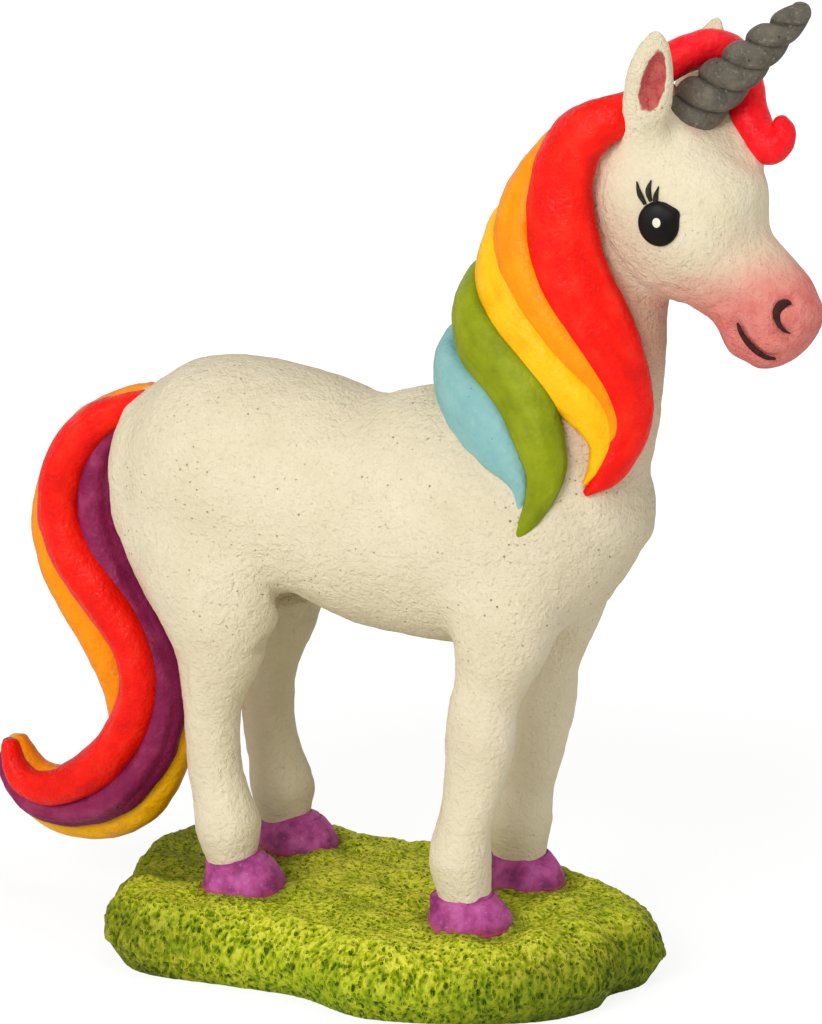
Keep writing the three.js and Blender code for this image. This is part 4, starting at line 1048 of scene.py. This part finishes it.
def carved(co, normal, s):
    """The skin with hollow ears, nostrils with swollen rims and a mouth. Also how far each point lies from
    the edge of an ear's hollow, as a share of its size, below 0 inside it."""
    ear, shares = np.ones(len(co)), np.linspace(0, 1, 60)
    for side in SIDES.values():
        length, root, way_up, out, ahead = ear_frame(side)
        rel = co - root
        rise = rel @ way_up / length - HOLLOW_MIDDLE
        across = (rel @ ahead - HOLLOW_SHIFT - HOLLOW_LEAN * rise) / (HOLLOW_HALF_WIDTH - HOLLOW_TAPER * rise)
        reach = np.hypot(rise * length / HOLLOW_HALF_HEIGHT, across)
        outer = (rel @ out > 0) & (rel @ out < 4)
        ear = np.where(outer, np.minimum(ear, reach - 1), ear)
        co = co - np.where(outer, HOLLOW_DEPTH * ease(1.15, 0.4, reach), 0)[:, None] * out
        muzzle = np.flatnonzero((s > 11) & (co[:, 1] * side > -1))
        nostril, mouth = (curve(stroke(rows, side, 0, 0.1).at, shares) for rows in (NOSTRIL, MOUTH))
        press(co, normal, muzzle, nostril.mean(0)[None], *RIM_PRESS)
        press(co, normal, muzzle, nostril, *NOSTRIL_PRESS)
        press(co, normal, muzzle, mouth, *MOUTH_PRESS)
    return co, ear


def washes_and_shade(co, normal, s, up, within, on_head):
    """Shares of airbrushed pink, of painted shade and of the jowl at each point. Pink lies over the muzzle,
    and as overspray on the lower neck and the rump. Painted shade lies on undersides, on the far hind leg in
    the body's shadow and on the breast. Jowl, crown and throat have some of both, their darkening painted
    shade."""
    x, y, z = co.T
    drift = dents(co, (2.4, 6.0), (1.2, 1.6))
    muzzle = 0.95 * on_head * ease(5.5, 16.5, s - 0.42 * np.minimum(up, 3) + drift)
    lower_neck = 0.22 * band(z, 66, 76, 88, 98) * ease(22, 30, x)
    rump = 0.32 * ease(-0.5, -0.92, normal[:, 0] + 0.1 * drift) * band(z, 22, 30, 54, 60) * (x < -18)
    # painted shade: undersides, the far hind leg in the body's shadow and the breast are darkened
    below = 0.35 * ease(0.2, -0.8, normal[:, 2]) * ease(60, 46, z)
    far_hind = 0.5 * ease(2, 5, y) * ease(-6, -12, x) * ease(58, 50, z)
    breast = 0.35 * ease(0.3, 0.8, normal[:, 0]) * band(z, 44, 52, 74, 84)
    # jowl: pink and painted shade on the lower cheek and jaw
    jowl = on_head * ease(1, -6, up - 0.15 * s + 0.5 * drift)
    forward, aside, _ = (co - HEAD_CENTRE).T
    # painted shade on the crown between forelock and ears, with some red overspray
    crown = ease(7.5, 9.0, up) * band(forward, -9, -7, 1.5, 3.5) * ease(5.8, 4.6, np.abs(aside))
    # painted shadow on the neck's front under the jaw
    throat = ease(1.06, 1.3, within) * band(z, 76, 86, 100, 108) * ease(27, 33, x)
    pink = most(muzzle, lower_neck, rump, 0.15 * jowl, 0.45 * crown, 0.36 * throat)
    painted_shade = most(below, far_hind, breast, 0.28 * jowl, crown, throat)
    return pink, painted_shade, jowl


def white_casting():
    """Torso, neck, head, legs and ears as one carved skin, sanded by noise, with its pink washes and painted
    shade, and with the shares of open pores and of coarse relief."""
    sand_depth, sand_middle = 0.16, 0.75
    mesh, co, quads = casting_skin()
    s, up = head_places(co)
    co, ear = carved(co, normals_of(co, quads), s)
    normal = normals_of(co, quads)
    lift, across, deep = head_profile(s)
    within = ((up - lift) / np.maximum(deep, 0.5)) ** 2 + (co[:, 1] / np.maximum(across, 0.5)) ** 2
    on_head = ease(1.9, 1.3, within) * (co[:, 0] > 26) * (co[:, 2] > 78)
    sand = mottle(co, 1.15) + 0.5 * mottle(co + 31, 0.8)
    calm = 1 + on_head * (0.7 * ease(-2, 2, s) * ease(2, -3, up) - 1.1 * ease(13, 18, s))
    co += ((sand - sand_middle) * sand_depth * calm)[:, None] * normal
    pink, painted_shade, jowl = washes_and_shade(co, normal, s, up, within, on_head)
    mark(mesh, "wash_and_shade", np.column_stack([pink, painted_shade, ear]))
    above_legs = ease(38, 52, co[:, 2])
    pores = 0.25 + 0.75 * (1 - 0.85 * on_head) * above_legs
    coarse = (1 - 0.3 * on_head + 0.5 * jowl) * (0.78 + 0.22 * above_legs)
    mark(mesh, "skin", np.column_stack([pores, coarse, 0 * pores]))
    finish_skin(mesh, co)
    legs = [f"{side}_{end}_leg" for side in SIDES for end in LEGS]
    nodes = ["torso", "neck", "head", "right_ear", "left_ear", *legs]
    place("white_casting", mesh, white_resin(), nodes)


# The small features


def hooves(material):
    """Hooves: ellipses that step back and narrow from the sole to the coronet, dented by noise, with an
    uneven upper edge."""
    up, setback, size = np.array(HOOF).T
    for side_name, side in SIDES.items():
        for end in LEGS:
            x = stance(end, side) - setback * CORONET_SETBACK
            at = np.column_stack([x, 0 * up + side * STANCE_WIDTH / 2, HOOF_SOLE + up * HOOF_HEIGHT])
            rings, _, _ = Form(at, size * HOOF_WIDTH / 2, size * HOOF_LENGTH / 2).rings(40, 64, 5)
            points, *faces = tube(rings)
            axis = np.array([*at[2:4].mean(0)[:2], 0])
            away = unit((points - axis) * [1, 1, 0])
            points = points + dents(points, (0.4, 2.2), (0.14, 0.8))[:, None] * away
            top = ease(HOOF_TOP - 1.2, HOOF_TOP, points[:, 2])
            points[:, 2] += top * dents(points + 9, (0.6, 2.6))
            node = f"{side_name}_{end}_hoof"
            cast(f"hoof_{side_name}_{end}", (points, *faces), material, [node])


def horn(material):
    """Spiral horn: a bulging cone whose radius falls in two creases wound round it together, by a power of
    one less the sine's size, so the ridges between are round. Its last part is a quarter ellipse."""
    steps, sides, crease_power, ridge_height, ridge_level, tip_share = 240, 96, 2.6, 0.35, 0.6, 0.62
    t = np.linspace(0, 1, steps + 1)[:, None] ** 0.9
    turn = around(sides)[None, :]
    plain = (HORN_DIAMETER + (HORN_TIP_DIAMETER - HORN_DIAMETER) * t**HORN_BULGE) / 2
    wave = np.abs(np.sin(HORN_TURNS * 2 * math.pi * t - turn - HORN_START))
    groove = (1 - wave) ** crease_power
    winding = ridge_height * (wave - ridge_level) - HORN_GROOVE * groove
    radius = plain + winding * ease(1.02, 0.8, t) * ease(0, 0.1, t)
    length = HORN_LENGTH + HORN_TIP_DIAMETER / 2
    into_tip = np.clip(1 - (1 - t) * length / (tip_share * HORN_TIP_DIAMETER), 0, 1)
    radius = radius * np.sqrt(np.clip(1 - into_tip**2, 0, 1))
    square = np.cross(HORN_ALONG, SIDEWAYS)
    axis = HORN_ROOT + (t * length)[..., None] * HORN_ALONG
    rings = axis + (np.cos(turn) * radius)[..., None] * SIDEWAYS + (np.sin(turn) * radius)[..., None] * square
    wind = on_tube(np.stack([groove, 0 * groove, 0 * groove], -1))
    cast("spiral_horn", tube(rings), material, ["horn"], {"wind": wind})


NO_FOLD = (0.0, 0.0, 1.0)


def lock(name, form, material, node, steps=130, fold=NO_FOLD):
    """A lock of hair: ellipses along its spine, dented by noise, with a fold along it: a bell of the given
    height and width round one turn. The lay holds the way along it, the way across it and the share of the
    half width from its middle."""
    sides = 36
    rings, t, turn = form.rings(steps, sides)
    centre = np.repeat(rings.mean(1, keepdims=True), sides, 1)
    _, _, _, _, across, deep = form.sections(t)
    height, middle, width = fold
    bell = height * np.exp(-((np.angle(np.exp(1j * (turn - middle))) / width) ** 2))
    rings = rings + (bell[None] * np.minimum(across / 2, 1))[..., None] * unit(rings - centre)
    points, *faces = tube(rings)
    points = points + dents(points, *HAIR_DENTS)[:, None] * unit(points - on_tube(centre))
    along, edge = np.broadcast_arrays(t[:, None] * form.length, np.sin(turn)[None])
    lay = on_tube(np.stack([along, edge * deep, edge], -1))
    cast(name, (points, *faces), material, [node], {"lay": lay})


def mane_form(rows):
    """A lock laid on the neck's skin."""
    t, turn, lift, thick, wide = np.array(rows, float).T
    at, out = neck.on_skin(t, turn, lift * MANE_THICKNESS / 2)
    domes = (0.23 * MANE_THICKNESS, 0.09 * MANE_THICKNESS)
    return Form(at, thick * MANE_THICKNESS / 2, wide * MANE_LOCK_WIDTH / 2, out, domes)


def by_head(forward, aside, up):
    """Places from the head's centre, in its length, half width and half depth."""
    shares = np.column_stack([forward, aside, up])
    return HEAD_CENTRE + shares * [HEAD_LENGTH, HEAD_WIDTH / 2, HEAD_DEPTH / 2]


def forelock_form():
    """The forelock: from the poll over the crown, down beside the horn and up again in a curl."""
    forward, aside, up, across, deep = np.array(FORELOCK, float).T
    half = FORELOCK_THICKNESS / 2
    domes = (0.21 * FORELOCK_THICKNESS, 0.13 * FORELOCK_THICKNESS)
    return Form(by_head(forward, aside, up), across * half, deep * half, domes=domes)


def seat_form():
    """The resin that fills the hollow between forelock, horn and forehead."""
    forward, aside, up, size = np.array(FORELOCK_SEAT, float).T
    half = size * FORELOCK_THICKNESS / 2
    return Form(by_head(forward, aside, up), half, half, domes=(0.3 * FORELOCK_THICKNESS,) * 2)


def forelock_curl(material):
    """The forelock as a skin of voxels, so that its tight curl closes without a pinch. The lay holds a
    height, a place along the head and a share across, from the thickness's middle."""
    mesh, co, quads = merged_skin("forelock_curl", [tube(forelock_form().rings(120, 48)[0])], CURL_VOXEL)
    co = smoothed(co, quads, 6)
    normal = normals_of(co, quads)
    co += dents(co, *HAIR_DENTS)[:, None] * normal
    mark(mesh, "lay", np.column_stack([co[:, 2], co[:, 0], 0.5 * normal[:, 0]]))
    finish_skin(mesh, co)
    place("forelock_curl", mesh, material, ["forelock"])


def tail_form(aside, shifts):
    """A lock beside the tail's S-shaped path."""
    back, drop, size = np.array(TAIL_PATH, float).T
    fall = TAIL_ROOT[2] - TAIL_END_HEIGHT
    path = TAIL_ROOT + np.column_stack([-back * TAIL_REACH, 0 * back, -drop * fall])
    inward = np.cross(slope_of(path, np.linspace(0, 1, len(path))), SIDEWAYS)
    at = path + (aside * TAIL_LOCK_THICKNESS * np.minimum(size, 1))[:, None] * SIDEWAYS
    at = at + (np.array(shifts) * TAIL_LOCK_WIDTH)[:, None] * inward
    domes = (0.2 * TAIL_LOCK_THICKNESS, 0.16 * TAIL_LOCK_THICKNESS)
    return Form(at, size * TAIL_LOCK_THICKNESS / 2, size * TAIL_LOCK_WIDTH / 2, domes=domes)


def clump(co):
    """Clumps of grass, from -1 to 1: two pairs of waves that cross."""

    def wave(x, y, z, shift):
        """Sine of the way along a direction, in clumps, plus a shift."""
        return np.sin(math.pi * (co @ [x, y, z] / CLUMP_WIDTH + shift))

    coarse = wave(0.8, 0.5, 0.4, 0.1) * wave(-0.5, 0.8, 0.3, 0.4)
    return 0.55 * coarse + 0.45 * wave(0.3, -0.75, 0.6, 0) * wave(0.9, 0.2, -0.4, 0.7)


def turf_rings():
    """Rings of the turf: a lobed outline stepped up a rounded edge, then drawn in over a low mound."""
    points = np.array(BASE_OUTLINE) * [BASE_LENGTH / 2, BASE_WIDTH / 2]
    outline = curve(points, np.linspace(0, 1, 300, endpoint=False), closed=True)
    turn = np.linspace(0, math.pi / 2, 14)[:-1]
    shoulder = BASE_HEIGHT - BASE_EDGE_ROUND
    inset = np.concatenate([[BASE_FOOT_INSET], BASE_EDGE_ROUND * (1 - np.cos(turn))])
    level = np.concatenate([[0], shoulder + 0.93 * BASE_EDGE_ROUND * np.sin(turn)])
    far = np.linalg.norm(outline, axis=1)[None, :, None]
    flat = outline[None] * (far - inset[:, None, None]) / far
    edge = np.concatenate([flat, np.broadcast_to(level[:, None, None], (*flat.shape[:2], 1))], 2)
    share = np.linspace(0.88, 0.08, 11)[:, None, None]
    top = edge[-1] * [1, 1, 0] * share + (TURF_TOP - (TURF_TOP - level[-1]) * share**2) * [0, 0, 1]
    poles = np.zeros((1, len(outline), 3)), np.tile([0, 0, TURF_TOP], (1, len(outline), 1))
    return np.concatenate([poles[0], edge, top, poles[1]])


def grass_mound(material):
    """Turf as a skin of voxels. Clumps swell it, and it is pitted round scattered seeds, by their distance
    in cells taller than wide, and streaked with noise drawn out in height. Upward faces and the mound's
    middle are lifted a little in level, a painted highlight. A crease runs in from the left edge past the
    near hind hoof; painted shade darkens the turf behind it, at both ends and along the foot, and painted
    shadow lies round the feet."""
    pit_cell, strand_size = np.array([0.95, 0.95, 1.4]), np.array([0.6, 0.6, 1.8])
    strand_depth, crease_depth, crease_width, warp_depth = 0.7, 0.6, 0.8, 0.5
    mesh, co, quads = merged_skin("grass_mound", [tube(turf_rings())], TURF_VOXEL)
    co = smoothed(co, quads, 2)
    normal = normals_of(co, quads)
    x, y, z = co.T
    grown = ease(0.4, 1.6, z) * ease(-0.7, -0.2, normal[:, 2])
    past = y + 11.7 - 0.09 * (x + 28) + dents(co, (0.8, 3.0))
    west = ease(-17, -21, x) * ease(3, 6, z)
    crease = crease_depth * west * np.exp(-((past / crease_width) ** 2))
    swell = CLUMP_HEIGHT * clump(co) + dents(co, (0.3, 3.2)) - crease
    warp = co + warp_depth * np.column_stack([mottle(co + shift, 1.2) for shift in (0, 17, 29)])
    pit = ease(0.5, 0.16, nearest_seed(warp, pit_cell))
    strand = mottle(warp, strand_size)
    level_top = ease(0.5, 0.9, normal[:, 2])
    middle = ease(1.0, 0.4, np.hypot((x + 3) / 20, (y - 2) / 11))
    # painted highlight: the level, and with it the colour, is lifted on upward faces and in the mound's
    # middle
    height = 0.55 + 0.64 * (strand - 0.4) - (0.38 - 0.12 * level_top) * pit + 0.08 * level_top + 0.12 * middle
    height = np.clip(height, 0, 1)
    co = co + (grown * (swell + strand_depth * (height - 0.52)))[:, None] * normal
    x, y, z = co.T
    # painted shade: darker behind the crease and at both ends
    behind = 0.8 * ease(0.2, 1.6, past) * ease(-8, -17, x + 0.3 * y)
    ends = 0.75 * ease(10.4, 7.0, z) * ease(12, 30, np.abs(x - 2))
    shade = np.maximum(behind, ends)
    # painted shadow round each hoof, then painted shade along the foot
    for end in LEGS:
        for side in SIDES.values():
            from_hoof = np.hypot((x - stance(end, side)) / 1.1, y - side * STANCE_WIDTH / 2)
            shade = np.maximum(shade, 0.55 * ease(7.8, 5.5, from_hoof))
    shade = np.clip(shade + 0.3 * ease(2.6, 0.6, z), 0, 1)
    low = 0.7 * ease(8.5, 4.5, z + dents(co, (3, 5.0))) * ease(-25, 0, x)
    mark(mesh, "grass", np.column_stack([height, shade, low]))
    finish_skin(mesh, co)
    place("grass_mound", mesh, material, ["turf_base"])


# The pieces

white_casting()
grass_mound(turf_green())
hooves(hoof_violet())
horn(horn_grey())

black = gloss_paint("eye_black", "0a0706", "16110e", 1.6, 0.35, 0.12)
spark = gloss_paint("spark_white", "e0dac4", "efe9d6", 0.8, 0.4, 0.3)
lash = gloss_paint("lash_brown", "15100b", "3c3626", 0.5, 0.55, 0.1)
line = gloss_paint("muzzle_line", "2e120f", "4a2220", 0.6, 0.65, 0.15)
for side_name, side in SIDES.items():
    ball = tube(eye_rings(side, EYE_WIDTH, EYE_HEIGHT, EYE_CROWN, EYE_WING))
    cast(f"eye_{side_name}", ball, black, [f"{side_name}_eye"])
    dot, *faces = tube(eye_rings(side, SPARK_WIDTH, SPARK_HEIGHT, SPARK_CROWN, 0.0))
    cast(f"eye_spark_{side_name}", (dot + SPARK_SHIFT * [1, side, 1], *faces), spark)
    for name, rows in LASHES.items():
        hair = tube(stroke(rows, side, 0.1, LASH_THICKNESS).rings(24, 12, 3)[0])
        cast(f"lash_{name}_{side_name}", hair, lash)
    for name, rows, lift in (("nostril", NOSTRIL, 0.05), ("mouth", MOUTH, -0.08)):
        brushed = tube(stroke(rows, side, lift, LINE_THICKNESS).rings(48, 14, 3)[0])
        cast(f"{name}_{side_name}", brushed, line)

PAINTS = {
    "red": hair_paint("hair_red", "c20a02", "f21405", "fc3a1e"),
    "orange": hair_paint("hair_orange", "dc7200", "f89200", "ffa60c"),
    "yellow": hair_paint("hair_yellow", "e49000", "fcbc0a", "ffcc2a"),
    "green": hair_paint("hair_green", "5c6c04", "869208", "a4ae1c", 0.45, 0.05),
    "blue": hair_paint("hair_blue", "70a6ac", "86b6b4", "9cc4c1", 0.55, 0.3),
    "purple": hair_paint("hair_purple", "600f38", "88204e", "b4527c", 0.42),
    "gold": hair_paint("hair_gold", "d08c04", "fab60c", "ffc62a"),
}
curl_red = hair_paint("forelock_red", "cc0a14", "f81420", "ff3038")
for shade, rows in MANE.items():
    lock(f"mane_{shade}", mane_form(rows), PAINTS[shade], f"mane_lock_{shade}")
forelock_curl(curl_red)
# Folds of the tail's locks: height, turn and width
FOLDS = {"red": (0.22, math.pi + 0.3, 0.16), "purple": (-0.55, 2.2, 0.3)}
for shade, (aside, shifts) in TAIL_LOCKS.items():
    fold = FOLDS.get(shade, NO_FOLD)
    lock(f"tail_{shade}", tail_form(aside, shifts), PAINTS[shade], f"tail_lock_{shade}", 160, fold)

# Floor, light and camera

VIEW_TURN, VIEW_RISE, VIEW_FAR, LENS = math.radians(25), math.radians(15), 520, 143.95
AIM = Vector((5.4, -3.8, 62)) * MM
LEVEL = math.cos(VIEW_RISE)
BACK = Vector((math.sin(VIEW_TURN) * LEVEL, -math.cos(VIEW_TURN) * LEVEL, math.sin(VIEW_RISE)))
RIGHT = Vector((math.cos(VIEW_TURN), math.sin(VIEW_TURN), 0))
WHITE = (1, 1, 1, 1)
# Lamps: metres from the middle towards the camera, to its right and up, then size of the disc and power
LAMPS = {
    "key": (0.55, -0.28, 0.2, 0.35, 2.6),
    "fill": (0.3, 0.5, 0, 0.45, 0.65),
    "side": (0.35, -0.5, 0.05, 0.4, 0.65),
    "top": (0.1, 0.15, 0.6, 0.35, 1.0),
}


def pale_floor():
    """A disc that reads as white round the ornament and keeps its shadow: a dim matt tone under a glow that
    rises to white with the distance, for the camera alone. Other rays meet a plain pale floor."""
    radius, sides = 3.0, 96
    f = Finish("floor_white")
    tone = f.ramp(f.noise(60, 3), (0.3, "f4f4f2"), (0.7, "fafaf8"))
    matt = f.node("BsdfDiffuse", "BSDF", {"Color": tone})
    seen = f.node("LightPath", "Is Camera Ray")
    far = f.node("VectorMath", "Value", {0: f.spot}, operation="LENGTH")
    strength = f.span(far, 0.07, 0.25, 0.86, 1.0)
    glow = f.node("Emission", "Emission", {"Color": WHITE, "Strength": strength})
    dim = f.node("BsdfDiffuse", "BSDF", {"Color": (0.2, 0.2, 0.2, 1)})
    shown = f.node("AddShader", 0, {0: glow, 1: dim})
    f.end("Material", f.node("MixShader", 0, {0: seen, 1: matt, 2: shown}))
    rim = around(sides)
    disc = bpy.data.meshes.new("floor")
    points = np.column_stack([np.cos(rim), np.sin(rim), 0 * rim]) * radius
    disc.from_pydata(points.tolist(), [], [list(range(sides))])
    disc.materials.append(f.material)
    floor = stand("floor", disc)


def surround():
    """White for the camera and for reflections, and a low warm light for the rest."""
    scene.world = bpy.data.worlds.new("surround")
    sky = Mix(scene.world)
    seen = sky.node("LightPath", "Is Camera Ray")
    rays = seen.node.outputs
    for other in ("Is Glossy Ray", "Is Transmission Ray"):
        seen = sky.node("Math", "Value", {0: seen, 1: rays[other]}, operation="MAXIMUM")
    ambient = sky.node("Background", "Background", {"Color": (1, 0.985, 0.96, 1), "Strength": 0.3})
    white = sky.node("Background", "Background", {"Color": WHITE, "Strength": 1.0})
    sky.end("World", sky.node("MixShader", 0, {0: seen, 1: ambient, 2: white}))


def aimed(name, data, away):
    """A lamp or a camera, away from the ornament's middle and looking at it."""
    thing = stand(name, data)
    thing.location = AIM + away
    thing.rotation_mode = "QUATERNION"
    thing.rotation_quaternion = (-away).to_track_quat("-Z", "Y")
    return thing


def lamps_and_camera():
    """Soft lamps round the camera, and the photograph's view."""
    for name, (back, right, up, size, power) in LAMPS.items():
        lamp = bpy.data.lights.new(name, "AREA")
        lamp.shape, lamp.size, lamp.energy = "DISK", size, power
        aimed(name, lamp, BACK * back + RIGHT * right + Vector((0, 0, up)))
    view = bpy.data.cameras.new("camera")
    view.lens, view.sensor_width = LENS, 36
    view.clip_start, view.clip_end = 0.01, 20
    scene.camera = aimed("camera", view, BACK * VIEW_FAR * MM)
    scene.view_settings.view_transform = "Standard"


pale_floor()
surround()
lamps_and_camera()
